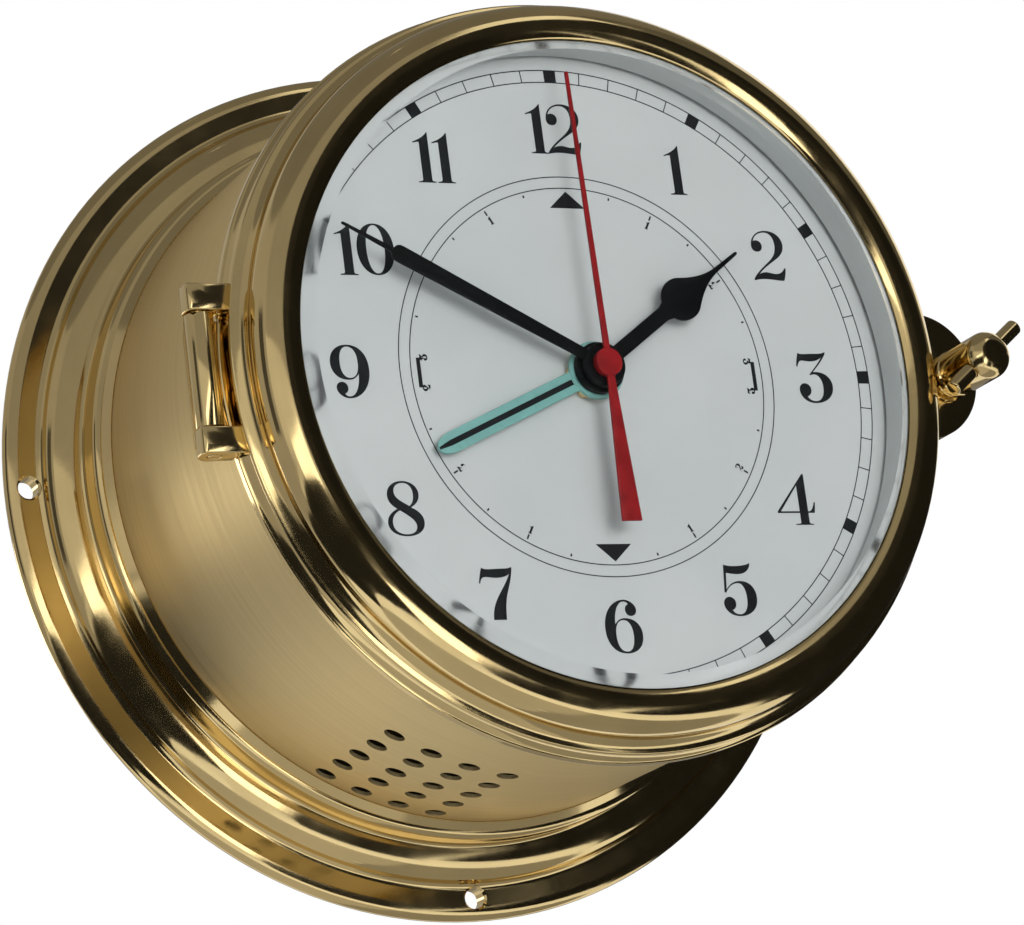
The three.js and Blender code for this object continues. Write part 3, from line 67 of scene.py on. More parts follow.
# Numerals, drawn on a square of 400 units with y down and the numeral's middle at 200, 200
UNIT = 0.0425
DRAWING_MIDDLE = 200
NUMERAL_PATHS = {
    "0": [
        "M 200 80 C 254 80 290 132 290 200 C 290 268 254 320 200 320 C 146 320 110 268 110 200 "
        "C 110 132 146 80 200 80",
        "M 200 88 C 174 88 156 130 156 200 C 156 270 174 312 200 312 C 226 312 244 270 244 200 "
        "C 244 130 226 88 200 88",
    ],
    "1": [
        "M 233 82 C 222 97 203 114 159 130 L 158 136 C 172 132 182 130 190 131 L 190 306 "
        "C 190 314 184 316 168 317 L 168 322 L 254 322 L 254 317 C 240 316 235 314 235 306 L 235 82",
    ],
    "2": [
        "M 119 155 C 119 110 155 80 200 80 C 252 80 286 110 286 150 C 286 192 250 212 212 236 "
        "C 180 257 156 276 142 292 C 162 279 186 280 206 286 C 236 294 262 288 277 261 L 284 261 "
        "C 282 285 276 305 268 322 C 240 322 205 316 180 315 C 150 314 130 318 113 322 L 112 315 "
        "C 125 290 160 262 190 238 C 225 210 243 190 243 150 C 243 112 225 89 195 89 "
        "C 165 89 140 104 131 131 C 152 121 175 133 175 155 C 175 171 163 183 147 183 "
        "C 130 183 119 171 119 155",
    ],
    "3": [
        "M 130 84 C 134 92 152 92 177 90 C 217 87 245 92 262 84 L 274 80 L 273 89 "
        "C 252 123 222 152 196 177 C 250 172 291 200 291 245 C 291 295 245 326 190 326 "
        "C 145 326 113 298 113 262 C 113 244 127 231 143 231 C 161 231 174 245 174 262 "
        "C 174 279 163 290 150 294 C 158 308 172 316 190 316 C 222 316 240 290 240 248 "
        "C 240 210 222 188 200 188 C 192 188 187 190 183 193 L 176 188 C 205 160 232 132 250 106 "
        "C 235 119 210 128 180 126 C 155 124 141 118 131 128 C 125 135 121 142 119 152 L 113 150 "
        "C 116 125 123 100 130 84",
    ],
    "4": [
        "M 254 80 L 254 255 L 262 255 C 276 250 284 232 290 212 L 295 212 C 294 232 291 250 287 263 "
        "L 254 263 L 254 306 C 254 313 262 314 275 314 L 275 319 L 182 319 L 182 314 "
        "C 202 314 210 313 210 306 L 210 263 L 96 263 L 94 256 L 246 80",
        "M 210 134 L 112 255 L 210 255",
    ],
    "5": [
        "M 133 83 C 155 92 190 92 215 90 C 240 88 255 84 266 78 L 269 81 C 262 110 240 127 205 128 "
        "C 178 129 158 124 142 122 L 134 198 C 150 174 176 160 205 160 C 255 160 283 192 283 238 "
        "C 283 290 240 322 188 322 C 145 322 111 296 111 262 C 111 246 124 232 141 232 "
        "C 159 232 172 246 172 262 C 172 280 162 290 150 293 C 158 306 170 313 186 313 "
        "C 215 313 232 285 232 240 C 232 196 218 170 196 170 C 168 170 144 186 130 213 L 121 211",
    ],
    "6": [
        "M 210 84 C 235 84 268 105 268 131 C 268 147 256 159 240 159 C 225 159 213 147 213 131 "
        "C 213 118 220 108 231 105 C 225 97 218 93 208 93 C 178 93 156 140 156 196 "
        "C 166 178 184 168 205 168 C 255 168 286 200 286 246 C 286 296 250 328 200 328 "
        "C 140 328 103 285 103 215 C 103 140 150 84 210 84",
        "M 197 177 C 168 177 154 205 154 245 C 154 292 170 319 199 319 C 226 319 240 290 240 246 "
        "C 240 205 226 177 197 177",
    ],
    "7": [
        "M 132 84 C 145 94 175 92 205 90 C 240 88 258 92 270 84 L 279 84 C 274 130 256 170 243 205 "
        "C 232 238 227 275 226 319 L 164 319 C 164 280 178 245 200 212 C 222 180 246 150 263 114 "
        "C 245 128 215 132 185 130 C 160 128 142 122 130 132 C 124 138 121 146 119 156 L 113 154 "
        "C 118 128 124 105 132 84",
    ],
    "8": [
        "M 200 81 C 243 81 275 105 275 141 C 275 172 250 190 232 200 C 266 214 288 236 288 266 "
        "C 288 304 252 329 200 329 C 150 329 114 306 114 270 C 114 240 138 218 166 206 "
        "C 140 192 124 172 124 146 C 124 108 156 81 200 81",
        "M 203 90 C 172 90 157 108 157 130 C 157 160 196 176 224 193 C 240 184 248 165 248 141 "
        "C 248 110 232 90 203 90",
        "M 178 213 C 150 225 137 245 137 270 C 137 300 162 320 200 320 C 232 320 250 304 250 284 "
        "C 250 252 205 232 178 213",
    ],
}
SIX_TO_NINE = (393, 405)

# Width of the bevel round the glass, in millimetres
GLASS_BEVEL = 2.3

# Each numeral: the middle's x and z on the dial, and its digits with their offsets in units
NUMERALS = [
    ((-0.5, 49.5), (("1", -98), ("2", 44))),
    ((24.5, 42), (("1", 0),)),
    ((42.8, 24.8), (("2", 0),)),
    ((49.2, 0), (("3", 0),)),
    ((41, -24.8), (("4", 0),)),
    ((25.7, -42.5), (("5", 0),)),
    ((0, -49), (("6", 0),)),
    ((-25.3, -42.5), (("7", 0),)),
    ((-42.2, -26), (("8", 0),)),
    ((-49.7, 0), (("9", 0),)),
    ((-43.7, 24), (("1", -100), ("0", 50))),
    ((-27.2, 42.8), (("1", -52), ("1", 43))),
]

# Edges that turn by more degrees than this are softened
SOFTENED_TURN = 40

# Gap between a fitting and the round wall it is shaped to, and the radius of the dial's middle hole
WALL_GAP = 0.3
MIDDLE_HOLE = 4.15

# Radius within which the drum's colour is painted dull and dark, as painted shade inside the case
PAINTED_SHADE_RADIUS = 71.7

# Families of finishes. A noise is given by its scale, detail and stretch. Cloud and shades vary the colour,
# wear and rough the roughness, and bump holds a noise, a strength and a height in millimetres
RINGS = (1, 3, (8, 3800, 8))
WIRE = (8, 1, 1)
SATIN = dict(
    base="satin", cloud=RINGS, shades=(0.95, 1.04), wear=(1, 4, (20, 1200, 20)), rough=(0.38, 0.46),
    bump=(RINGS, 0.07, 0.02), metallic=0.82, specular_tint=(1.0, 0.84, 0.56, 1),
)
LACQUER = dict(
    cloud=(220, 3), shades=(0.85, 1.15), wear=(600, 3), rough=(0.28, 0.4), bump=((2500, 2), 0.05, 0.01),
    specular_ior_level=0.12,
)
MOULDED = dict(
    cloud=(90, 4), shades=(0.93, 1.06), wear=(500, 3), rough=(0.4, 0.55), bump=((3000, 3), 0.12, 0.02)
)
METAL = dict(
    cloud=(160, 4), shades=(0.88, 1.08), wear=(420, 3), rough=(0.22, 0.38), bump=((2200, 2), 0.06, 0.01),
    metallic=1.0,
)

# Each finish: its base is a colour or the name of a setting, and the rest departs from its family
FINISHES = {
    "polished_brass": dict(
        base="brass", cloud=(38, 4), shades=(0.9, 1.06), wear=(140, 5), rough=(0.06, 0.14),
        bump=((900, 2), 0.04, 0.05), metallic=1.0,
    ),
    "satin_brass": SATIN,
    # The drum is painted near black within that radius, as painted shade inside the case seen through the
    # vents
    "drum_brass": dict(SATIN, lining=(0.03, 0.022, 0.012)),
    "white_enamel": dict(
        base="enamel", cloud=(60, 3), shades=(0.975, 1.015), wear=(400, 2), rough=(0.42, 0.55),
        bump=((1500, 2), 0.05, 0.01), specular_ior_level=0.35,
    ),
    "printing_ink": dict(LACQUER, base="ink", rough=(0.4, 0.5)),
    "black_lacquer": dict(LACQUER, base="black"),
    "red_lacquer": dict(LACQUER, base="red"),
    "aqua_plastic": dict(
        base="aqua", cloud=(150, 3), shades=(0.95, 1.05), wear=(500, 2), rough=(0.25, 0.36),
        alpha=0.7, specular_ior_level=0.3,
    ),
    "black_plastic": dict(MOULDED, base="black_plastic"),
    "white_plastic": dict(MOULDED, base="white_plastic"),
    "steel": dict(METAL, base=(0.56, 0.57, 0.59)),
    "copper_wire": dict(
        METAL, base=(0.6, 0.25, 0.12), cloud=(160, 4, WIRE), wear=(420, 3, WIRE),
        bump=((2200, 2, WIRE), 0.06, 0.01),
    ),
    "green_board": dict(MOULDED, base=(0.012, 0.085, 0.035), rough=(0.3, 0.42)),
    "black_rubber": dict(MOULDED, base=(0.014, 0.014, 0.014), rough=(0.65, 0.8)),
    "cell_wrap": dict(METAL, base=(0.32, 0.34, 0.36), rough=(0.3, 0.42)),
}


# Sizes and colours that a user may change


def length(name, description, millimetres):
    return FloatProperty(
        name=name, description=description, default=millimetres * MM, min=0, unit="LENGTH", precision=5
    )


def colour(name, description, *rgb):
    return FloatVectorProperty(
        name=name, description=description, subtype="COLOR", size=3, min=0, max=1, default=rgb
    )


class CaseSizes(bpy.types.PropertyGroup):
    """Sizes of the flange and drum."""

    flange_radius: length(
        "Flange radius", "Outside radius of the wall flange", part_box("mounting_flange")[1].x / MM
    )
    drum_radius: length("Drum radius", "Outside radius of the drum", 72.5)
    drum_wall: length("Drum wall", "Thickness of the drum's wall", 1.9)
    drum_length: length("Drum length", "Length of the drum from the wall", 77)
    vent_radius: length("Vent radius", "Radius of each vent hole", 2.1)
    screw_hole_radius: length("Screw hole radius", "Radius of the flange's four holes", 2.1)
    steps: IntProperty(name="Steps", description="Steps of a full turn of a large ring", default=160, min=24)


class BezelSizes(bpy.types.PropertyGroup):
    """Sizes of the bezel, its glass and its fittings."""

    lip_radius: length("Lip radius", "Outside radius of the bezel's lip", 75.1)
    opening_radius: length("Opening radius", "Radius of the opening in front of the glass", 63.6)
    front: length("Front", "Depth of the bezel's crown", 91.85)
    glass_back: length("Glass back", "Depth of the back of the glass", 89.65)
    knob_radius: length("Knob radius", "Radius of the latch screw's knob", 4.75)


class DialSizes(bpy.types.PropertyGroup):
    """Sizes of the dial's printing."""

    face: length("Dial face", "Depth of the dial's face", 79.4)
    ink: length("Ink", "Height of the printing above the enamel", 0.04)
    track_inner: length("Track inside", "Inner radius of the minute track", 58.9)
    track_outer: length("Track outside", "Outer radius of the minute track", 61.55)
    line: length("Line", "Width of the thin printed lines", 0.2)
    tide_ring_inner: length("Tide ring inside", "Radius of the tide ring's inner circle", 37.37)
    tide_ring_outer: length("Tide ring outside", "Radius of the tide ring's outer circle", 39.65)


class Finishes(bpy.types.PropertyGroup):
    """Colours of the clock's finishes."""

    brass: colour("Polished brass", "Colour of the polished brass", 0.78, 0.60, 0.29)
    satin: colour("Satin brass", "Colour of the brushed drum", 0.74, 0.60, 0.33)
    enamel: colour("Enamel", "Colour of the dial", 0.575, 0.597, 0.59)
    ink: colour("Ink", "Colour of the printing", 0.012, 0.013, 0.015)
    black: colour("Black lacquer", "Colour of the hour and minute hands", 0.004, 0.0045, 0.005)
    red: colour("Red lacquer", "Colour of the second hand", 0.26, 0.010, 0.012)
    aqua: colour("Aqua plastic", "Colour of the tide hand", 0.25, 0.54, 0.50)
    white_plastic: colour("White plastic", "Colour of the wheels and the rear cover", 0.66, 0.66, 0.61)
    black_plastic: colour("Black plastic", "Colour of the movement's shell", 0.022, 0.022, 0.024)


class StageSettings(bpy.types.PropertyGroup):
    """Floor, light and camera."""

    floor_height: FloatProperty(
        name="Floor height", description="Height of the floor", default=-1.1, unit="LENGTH"
    )
    lens: FloatProperty(name="Lens", description="Focal length of the camera", default=145.66, unit="CAMERA")
    front_power: FloatProperty(
        name="Front power", description="Power of the lamp in front of the dial", default=6.6, unit="POWER"
    )
    surroundings: FloatProperty(
        name="Surroundings", description="Strength of the light from all around", default=0.45
    )


class ClockSettings(bpy.types.PropertyGroup):
    """All the clock's settings."""

    case: PointerProperty(type=CaseSizes, name="Case", description="Flange and drum")
    bezel: PointerProperty(type=BezelSizes, name="Bezel", description="Bezel, glass and latch")
    dial: PointerProperty(type=DialSizes, name="Dial", description="Dial and printing")
    finish: PointerProperty(type=Finishes, name="Finish", description="Colours")
    stage: PointerProperty(type=StageSettings, name="Stage", description="Floor, light and camera")


# Modelling by hand tools


def clear_selection():
    if bpy.context.object and bpy.context.object.mode != "OBJECT":
        bpy.ops.object.mode_set(mode="OBJECT")
    bpy.ops.object.select_all(action="DESELECT")


def take(piece):
    """Selects one piece alone and makes it active."""
    clear_selection()
    piece.select_set(True)
    bpy.context.view_layer.objects.active = piece


def flat(x, depth, z=0.0):
    return Vector((x, -depth, z)) * MM


def spot(radius, clock):
    """The x and z at a radius and a clock angle."""
    turn = math.radians(clock)
    return radius * math.sin(turn), radius * math.cos(turn)


def arc(radius, depth, width, height, start, end, steps):
    """Points along an elliptical arc, both ends included."""
    angles = [math.radians(start + (end - start) * i / steps) for i in range(steps + 1)]
    return [(radius + width * math.cos(a), depth + height * math.sin(a)) for a in angles]


def mirrored(right):
    """An outline from its right half."""
    return right + [(-x, z) for x, z in reversed(right)]


def draw(name, points, closed=True):
    """A wire from place to place, left open in edit mode: one vertex, extruded along."""
    clear_selection()
    bpy.ops.mesh.primitive_plane_add(size=MM)
    piece = bpy.context.object
    piece.name = piece.data.name = name
    bpy.ops.object.mode_set(mode="EDIT")
    bpy.ops.mesh.select_mode(type="VERT")
    bpy.ops.mesh.merge(type="CENTER")
    bpy.ops.transform.translate(value=points[0])
    for here, there in zip(points, points[1:]):
        bpy.ops.mesh.extrude_vertices_move(TRANSFORM_OT_translate={"value": there - here})
    if closed:
        pick(piece, lambda v: min((v.co - points[0]).length, (v.co - points[-1]).length) < 1e-7)
        bpy.ops.mesh.edge_face_add()
    return piece


def pick(piece, wanted):
    """Selects the vertices that pass a test, and what lies between them."""
    bpy.ops.mesh.select_all(action="DESELECT")
    mesh = bmesh.from_edit_mesh(piece.data)
    for vertex in mesh.verts:
        vertex.select = wanted(vertex)
    mesh.select_flush_mode()
    bmesh.update_edit_mesh(piece.data)


def close_up():
    """Merges doubles, turns the faces outwards and leaves edit mode."""
    bpy.ops.mesh.select_all(action="SELECT")
    bpy.ops.mesh.remove_doubles(threshold=1e-6)
    bpy.ops.mesh.normals_make_consistent(inside=False)
    bpy.ops.object.mode_set(mode="OBJECT")


def without_repeats(points):
    kept = [points[0]]
    for point in points[1:]:
        if math.dist(point, kept[-1]) > 1e-4:
            kept.append(point)
    return kept


def lathe(name, profile, steps, centre=(0.0, 0.0)):
    """Turns a profile of radius and depth about an axis along the clock's depth."""
    profile = without_repeats(profile)
    x, z = centre
    on_axis = profile[0][0] == 0 and profile[-1][0] == 0
    piece = draw(name, [flat(x + radius, depth, z) for radius, depth in profile], closed=not on_axis)
    bpy.ops.mesh.select_all(action="SELECT")
    bpy.ops.mesh.spin(steps=steps, angle=math.tau, center=flat(x, 0, z), axis=(0, 1, 0))
    close_up()
    return piece


def post(name, radius, low, high, steps, centre=(0.0, 0.0)):
    """A plain round post between two depths."""
    return lathe(name, [(0, low), (radius, low), (radius, high), (0, high)], steps, centre)


def slab(name, points, push):
    """A closed outline, filled and pushed out to a thickness."""
    piece = draw(name, points)
    bpy.ops.mesh.select_all(action="SELECT")
    bpy.ops.mesh.edge_face_add()
    bpy.ops.mesh.extrude_region_move(TRANSFORM_OT_translate={"value": push})
    close_up()
    return piece


def plate(name, outline, rear, front):
    """An outline of x and z between two depths."""
    return slab(name, [flat(x, rear, z) for x, z in outline], flat(0, front - rear))


def bar(name, outline, low, high):
    """An outline of x and depth between two heights."""
    return slab(name, [flat(x, depth, low) for x, depth in outline], flat(0, 0, high - low))


def apply_modifier(piece, kind, **settings):
    take(piece)
    added = piece.modifiers.new(kind.title(), kind)
    for name, value in settings.items():
        setattr(added, name, value)
    bpy.ops.object.modifier_apply(modifier=added.name)


def soften(piece, width, segments=2):
    turn = math.radians(SOFTENED_TURN)
    bevel = dict(width=width * MM, segments=segments, limit_method="ANGLE", angle_limit=turn)
    apply_modifier(piece, "BEVEL", **bevel)


def combine(piece, operation, others):
    for other in others:
        apply_modifier(piece, "BOOLEAN", operation=operation, solver="EXACT", object=other)
        bpy.data.objects.remove(other)


def cut(piece, *cutters):
    combine(piece, "DIFFERENCE", cutters)


def weld(piece, *others):
    combine(piece, "UNION", others)


def copy_of(piece, name, place):
    take(piece)
    bpy.ops.object.duplicate()
    twin = bpy.context.object
    twin.name = twin.data.name = name
    twin.data.transform(place)
    return twin


def join(pieces):
    take(pieces[0])
    for piece in pieces:
        piece.select_set(True)
    bpy.ops.object.join()
    return bpy.context.object


def about_clock(degrees):
    """A turn about the clock's axis by a clock angle."""
    return Matrix.Rotation(math.radians(degrees), 4, "Y")


def dress(piece, body, slot, *nodes, finish=None, sharp=30):
    """Shades, paints and hands over a finished piece to the body it rides on."""
    take(piece)
    bpy.ops.object.shade_smooth_by_angle(angle=math.radians(sharp))
    piece.data.materials.clear()
    piece.data.materials.append(finish_named(finish or slot))
    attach(piece, body)
    if nodes:
        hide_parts(*nodes)


def printed(name, outlines, face, ink, spread=0.0):
    """Ink on the dial: closed outlines of x and z, filled between them and spread a little."""
    curve = bpy.data.curves.new(name, "CURVE")
    curve.dimensions = "2D"
    curve.fill_mode = "BOTH"
    curve.extrude = ink / 2
    curve.offset = spread
    for outline in outlines:
        line = curve.splines.new("POLY")
        line.points.add(len(outline) - 1)
        for point, (x, z) in zip(line.points, outline):
            point.co = (x, z, 0, 1)
        line.use_cyclic_u = True
    piece = bpy.data.objects.new(name, curve)
    bpy.context.collection.objects.link(piece)
    take(piece)
    bpy.ops.object.convert(target="MESH")
    piece = bpy.context.object
    piece.name = piece.data.name = name
    stand_up = Matrix.Rotation(math.pi / 2, 4, "X") @ Matrix.Scale(MM, 4)
    piece.data.transform(Matrix.Translation(flat(0, face + ink / 2)) @ stand_up)
    bpy.ops.object.mode_set(mode="EDIT")
    close_up()
    return piece


# Finishes


def add_node(tree, kind, inputs=None, **settings):
    """A shader node, whose inputs are linked where they are given as sockets and set where they aren't."""
    added = tree.nodes.new(kind)
    for name, value in settings.items():
        setattr(added, name, value)
    for key, value in (inputs or {}).items():
        if isinstance(value, bpy.types.NodeSocket):
            tree.links.new(value, added.inputs[key])
        else:
            added.inputs[key].default_value = value
    return added


class Paint:
    """A node material around one principled shader, with patterns on object coordinates."""

    def __init__(self, name, **sockets):
        self.material = bpy.data.materials.new(name)
        self.material.use_nodes = True
        self.tree = self.material.node_tree
        self.shader = self.tree.nodes["Principled BSDF"]
        for socket, value in sockets.items():
            self.shader.inputs[socket.replace("_", " ").title().replace("Ior", "IOR")].default_value = value

    def node(self, kind, inputs=None, **settings):
        return add_node(self.tree, kind, inputs, **settings)

    def feed(self, socket, source):
        """Links a source to one of the shader's sockets."""
        self.tree.links.new(source, self.shader.inputs[socket])

    def noise(self, scale, detail, stretch=(1, 1, 1)):
        """Noise with so many grains to the metre, stretched along the axes."""
        place = self.node("ShaderNodeTexCoord").outputs["Object"]
        mapping = self.node("ShaderNodeMapping", {"Vector": place, "Scale": stretch})
        grain = {"Vector": mapping.outputs["Vector"], "Scale": scale, "Detail": detail}
        return self.node("ShaderNodeTexNoise", grain).outputs["Fac"]

    def tint(self, factor, dark, light, low=0.35, high=0.65):
        """A colour between two shades."""
        ramp = self.node("ShaderNodeValToRGB", {"Fac": factor})
        for element, position, shade in zip(ramp.color_ramp.elements, (low, high), (dark, light)):
            element.position, element.color = position, (*shade, 1)
        return ramp.outputs["Color"]

    def between(self, factor, low, high):
        """A number between two limits."""
        limits = {"From Min": 0.3, "From Max": 0.7, "To Min": low, "To Max": high}
        return self.node("ShaderNodeMapRange", {"Value": factor, **limits}).outputs["Result"]

    def lining(self, outside, inside, radius):
        """A colour that changes to another one within a radius of the clock's axis."""
        place = self.node("ShaderNodeTexCoord").outputs["Object"]
        across = self.node("ShaderNodeVectorMath", {0: place, 1: (1, 0, 1)}, operation="MULTIPLY")
        away = self.node("ShaderNodeVectorMath", {0: across.outputs["Vector"]}, operation="LENGTH")
        limit = {0: away.outputs["Value"], 1: radius * MM}
        within = self.node("ShaderNodeMath", limit, operation="LESS_THAN")
        colours = {"Fac": within.outputs["Value"], "Color1": outside, "Color2": (*inside, 1)}
        return self.node("ShaderNodeMixRGB", colours).outputs["Color"]

    def mix_with_clear(self, ray, clear_first):
        """Mixes the shader with a clear one by a kind of ray."""
        factor = self.node("ShaderNodeLightPath").outputs[ray]
        sides = [self.shader.outputs["BSDF"], self.node("ShaderNodeBsdfTransparent").outputs["BSDF"]]
        if clear_first:
            sides.reverse()
        mix = self.node("ShaderNodeMixShader", {0: factor, 1: sides[0], 2: sides[1]})
        self.tree.links.new(mix.outputs["Shader"], self.tree.nodes["Material Output"].inputs["Surface"])


def surface(name, base, cloud, shades, wear, rough, bump=None, lining=None, **sockets):
    """A finish clouded between two shades, worn between two roughnesses and finely uneven."""
    paint = Paint(name, **sockets)
    dark, light = (tuple(min(1.0, channel * factor) for channel in base) for factor in shades)
    colour = paint.tint(paint.noise(*cloud), dark, light)
    # A colour within, where given, is painted inside the painted shade radius as painted shade inside the
    # drum
    paint.feed("Base Color", paint.lining(colour, lining, PAINTED_SHADE_RADIUS) if lining else colour)
    paint.feed("Roughness", paint.between(paint.noise(*wear), *rough))
    if bump:
        grain, strength, height = bump
        bumps = {"Height": paint.noise(*grain), "Strength": strength, "Distance": height * MM}
        paint.feed("Normal", paint.node("ShaderNodeBump", bumps).outputs["Normal"])
    return paint.material


def clear_glass(flat_radius):
    """Glass that is clear on its flat, finely ground on its bevel, and lets the lamp through."""
    paint = Paint("clear_glass", transmission_weight=1.0, ior=1.5)
    paint.feed("Base Color", paint.tint(paint.noise(25, 2), (0.95, 0.975, 0.975), (0.985, 0.995, 0.995)))
    ground = paint.between(paint.noise(70, 3), 0.14, 0.2)
    paint.feed("Roughness", paint.lining(ground, (0.005, 0.005, 0.005), flat_radius))
    paint.mix_with_clear("Is Shadow Ray", clear_first=False)
    return paint.material


def background_rays(tree):
    """One for the rays that see the background: straight, in a reflection or through glass."""
    rays = add_node(tree, "ShaderNodeLightPath").outputs
    seen = rays["Is Camera Ray"]
    for kind in ("Is Glossy Ray", "Is Transmission Ray"):
        seen = add_node(tree, "ShaderNodeMath", {0: seen, 1: rays[kind]}, operation="MAXIMUM").outputs[0]
    first = add_node(tree, "ShaderNodeMath", {0: rays["Diffuse Depth"], 1: 1}, operation="LESS_THAN")
    both = {0: seen, 1: first.outputs[0]}
    return add_node(tree, "ShaderNodeMath", both, operation="MULTIPLY").outputs[0]


def finish_named(name):
    """The material of that name, made once."""
    found = bpy.data.materials.get(name)
    if found and found.get("clock_finish"):
        return found
    if found:
        found.name = name + "_packed"
    clock = bpy.context.scene.clock
    if name == "clear_glass":
        made = clear_glass(clock.bezel.opening_radius / MM - GLASS_BEVEL)
    else:
        recipe = dict(FINISHES[name])
        base = recipe.pop("base")
        made = surface(name, getattr(clock.finish, base) if isinstance(base, str) else base, **recipe)
    made["clock_finish"] = True
    return made


# Operators, one for each piece or group of like pieces


class ClockPiece:
    """What the clock's operators share."""

    bl_options = {"REGISTER", "UNDO"}

    def execute(self, context):
        self.make(context.scene.clock)
        clear_selection()
        return {"FINISHED"}


class CLOCK_OT_wall_flange(ClockPiece, bpy.types.Operator):
    """Turns the wall flange and sinks its four screw holes"""

    bl_idname = "clock.wall_flange"
    bl_label = "Wall flange"

    FACE, SINK, HOLE_INSET = 3.75, 0.45, 4.4

    def make(self, clock):
        rim, drum = clock.case.flange_radius / MM, clock.case.drum_radius / MM
        hole = clock.case.screw_hole_radius / MM
        sunk = hole + self.SINK
        bore, socket = drum + 0.04, drum + 3.2
        ogee = socket + 0.8
        profile = [(bore, 0), (bore + 0.2, 0), (rim - 1.9, 0)]
        profile += arc(rim - 1.75, 1.75, 1.75, 1.75, -90, 0, 8)
        profile += arc(rim - 2.7, 1.75, 2.7, 2, 0, 90, 14)
        profile += [(rim - 2.85, self.FACE), (ogee + 7.7, self.FACE)]
        profile += arc(ogee + 7.53, 5.28, 1.53, 1.53, 270, 196, 10)
        profile += arc(ogee, 3.9, 6.2, 4.6, 12, 90, 14)
        profile += arc(socket + 0.8, 9.3, 0.8, 0.8, 270, 180, 5)
        profile += arc(socket - 1.5, 13.5, 1.5, 1.5, 0, 90, 8)
        profile += [(bore + 0.2, 16.4), (bore, 16.3)]
        flange = lathe("wall_flange", profile, clock.case.steps)
        profile = [(0, -1), (hole, -1), (hole, self.FACE - self.SINK), (sunk, self.FACE), (sunk, 8), (0, 8)]
        sink = lathe("screw_sink", profile, 40, (0, rim - self.HOLE_INSET))
        sinks = [copy_of(sink, f"screw_sink_{i}", about_clock(90 * i)) for i in range(1, 4)]
        cut(flange, sink, *sinks)
        soften(flange, 0.12)
        dress(flange, "case", "polished_brass", "mounting_flange")


class CLOCK_OT_drum(ClockPiece, bpy.types.Operator):
    """Turns the drum and punches its field of vent holes"""

    bl_idname = "clock.drum"
    bl_label = "Drum"

    ROWS, ROW_PITCH, FIRST_ROW = 5, 8.25, 19.8
    COLUMNS, COLUMN_PITCH, FIELD_MIDDLE = 4, 8.05, 200.85

    def make(self, clock):
        outside = clock.case.drum_radius / MM
        bore = outside - clock.case.drum_wall / MM
        end = clock.case.drum_length / MM
        profile = [(bore, 0.2), (bore + 0.2, 0), (outside - 0.2, 0), (outside, 0.2)]
        profile += [(outside, end - 0.3), (outside - 0.3, end), (bore + 0.3, end), (bore, end - 0.3)]
        drum = lathe("drum", profile, 2 * clock.case.steps)
        bpy.ops.mesh.primitive_cylinder_add(vertices=28, radius=clock.case.vent_radius, depth=8 * MM)
        punch = bpy.context.object
        step = math.degrees(self.COLUMN_PITCH / outside)
        punches = []
        for column in range(self.COLUMNS):
            angle = self.FIELD_MIDDLE + (column - (self.COLUMNS - 1) / 2) * step
            for row in range(self.ROWS):
                depth = self.FIRST_ROW + row * self.ROW_PITCH
                place = Matrix.Translation(flat(0, depth, outside))
                punches.append(copy_of(punch, f"punch_{column}_{row}", about_clock(angle) @ place))
        bpy.data.objects.remove(punch)
        cut(drum, join(punches))
        dress(drum, "case", "satin_brass", "case_drum", finish="drum_brass", sharp=40)


class CLOCK_OT_dial(ClockPiece, bpy.types.Operator):
    """Makes the enamelled dial, the ring that carries it and its three screws"""

    bl_idname = "clock.dial"
    bl_label = "Dial"

    EDGE = 69.8
    SCREW_RADIUS, SCREW_CLOCK = 66.9, (60, 180, 300)

    def make(self, clock):
        face, edge, steps = clock.dial.face / MM, self.EDGE, clock.case.steps
        profile = [(MIDDLE_HOLE, face - 1), (edge - 0.15, face - 1), (edge, face - 0.85), (edge, face - 0.3)]
        profile += arc(edge - 0.3, face - 0.3, 0.3, 0.3, 0, 90, 4)
        profile += [(40, face), (20, face), (MIDDLE_HOLE, face)]
        dress(lathe("dial", profile, steps), "case", "white_enamel", "dial_plate")
        profile = [(63.8, face - 9.05), (70.1, face - 9.05), (70.3, face - 8.85), (70.3, face - 1.25)]
        profile += [(70.1, face - 1.05), (64.0, face - 1.05), (63.8, face - 1.25)]
        dress(lathe("dial_seat", profile, steps), "case", "satin_brass", "dial_seat_ring")
        screw = self.slotted_screw(face)
        for i, clock_angle in enumerate(self.SCREW_CLOCK):
            made = copy_of(screw, f"dial_fixing_{i + 1}", about_clock(clock_angle))
            dress(made, "case", "steel", f"dial_screw_{i + 1}")
        bpy.data.objects.remove(screw)

    def slotted_screw(self, face):
        head, z = face + 0.05, self.SCREW_RADIUS
        profile = [(0, face - 5), (0.7, face - 5), (0.9, face - 4.8), (0.9, head), (1.5, head)]
        profile += [(1.6, head + 0.1), *arc(0, head + 0.1, 1.6, 0.7, 0, 90, 8)]
        screw = lathe("slotted_screw", profile, 32, (0, z))
        outline = [(-2, z - 0.2), (2, z - 0.2), (2, z + 0.2), (-2, z + 0.2)]
        cut(screw, plate("slot", outline, head + 0.4, head + 2))
        return screw


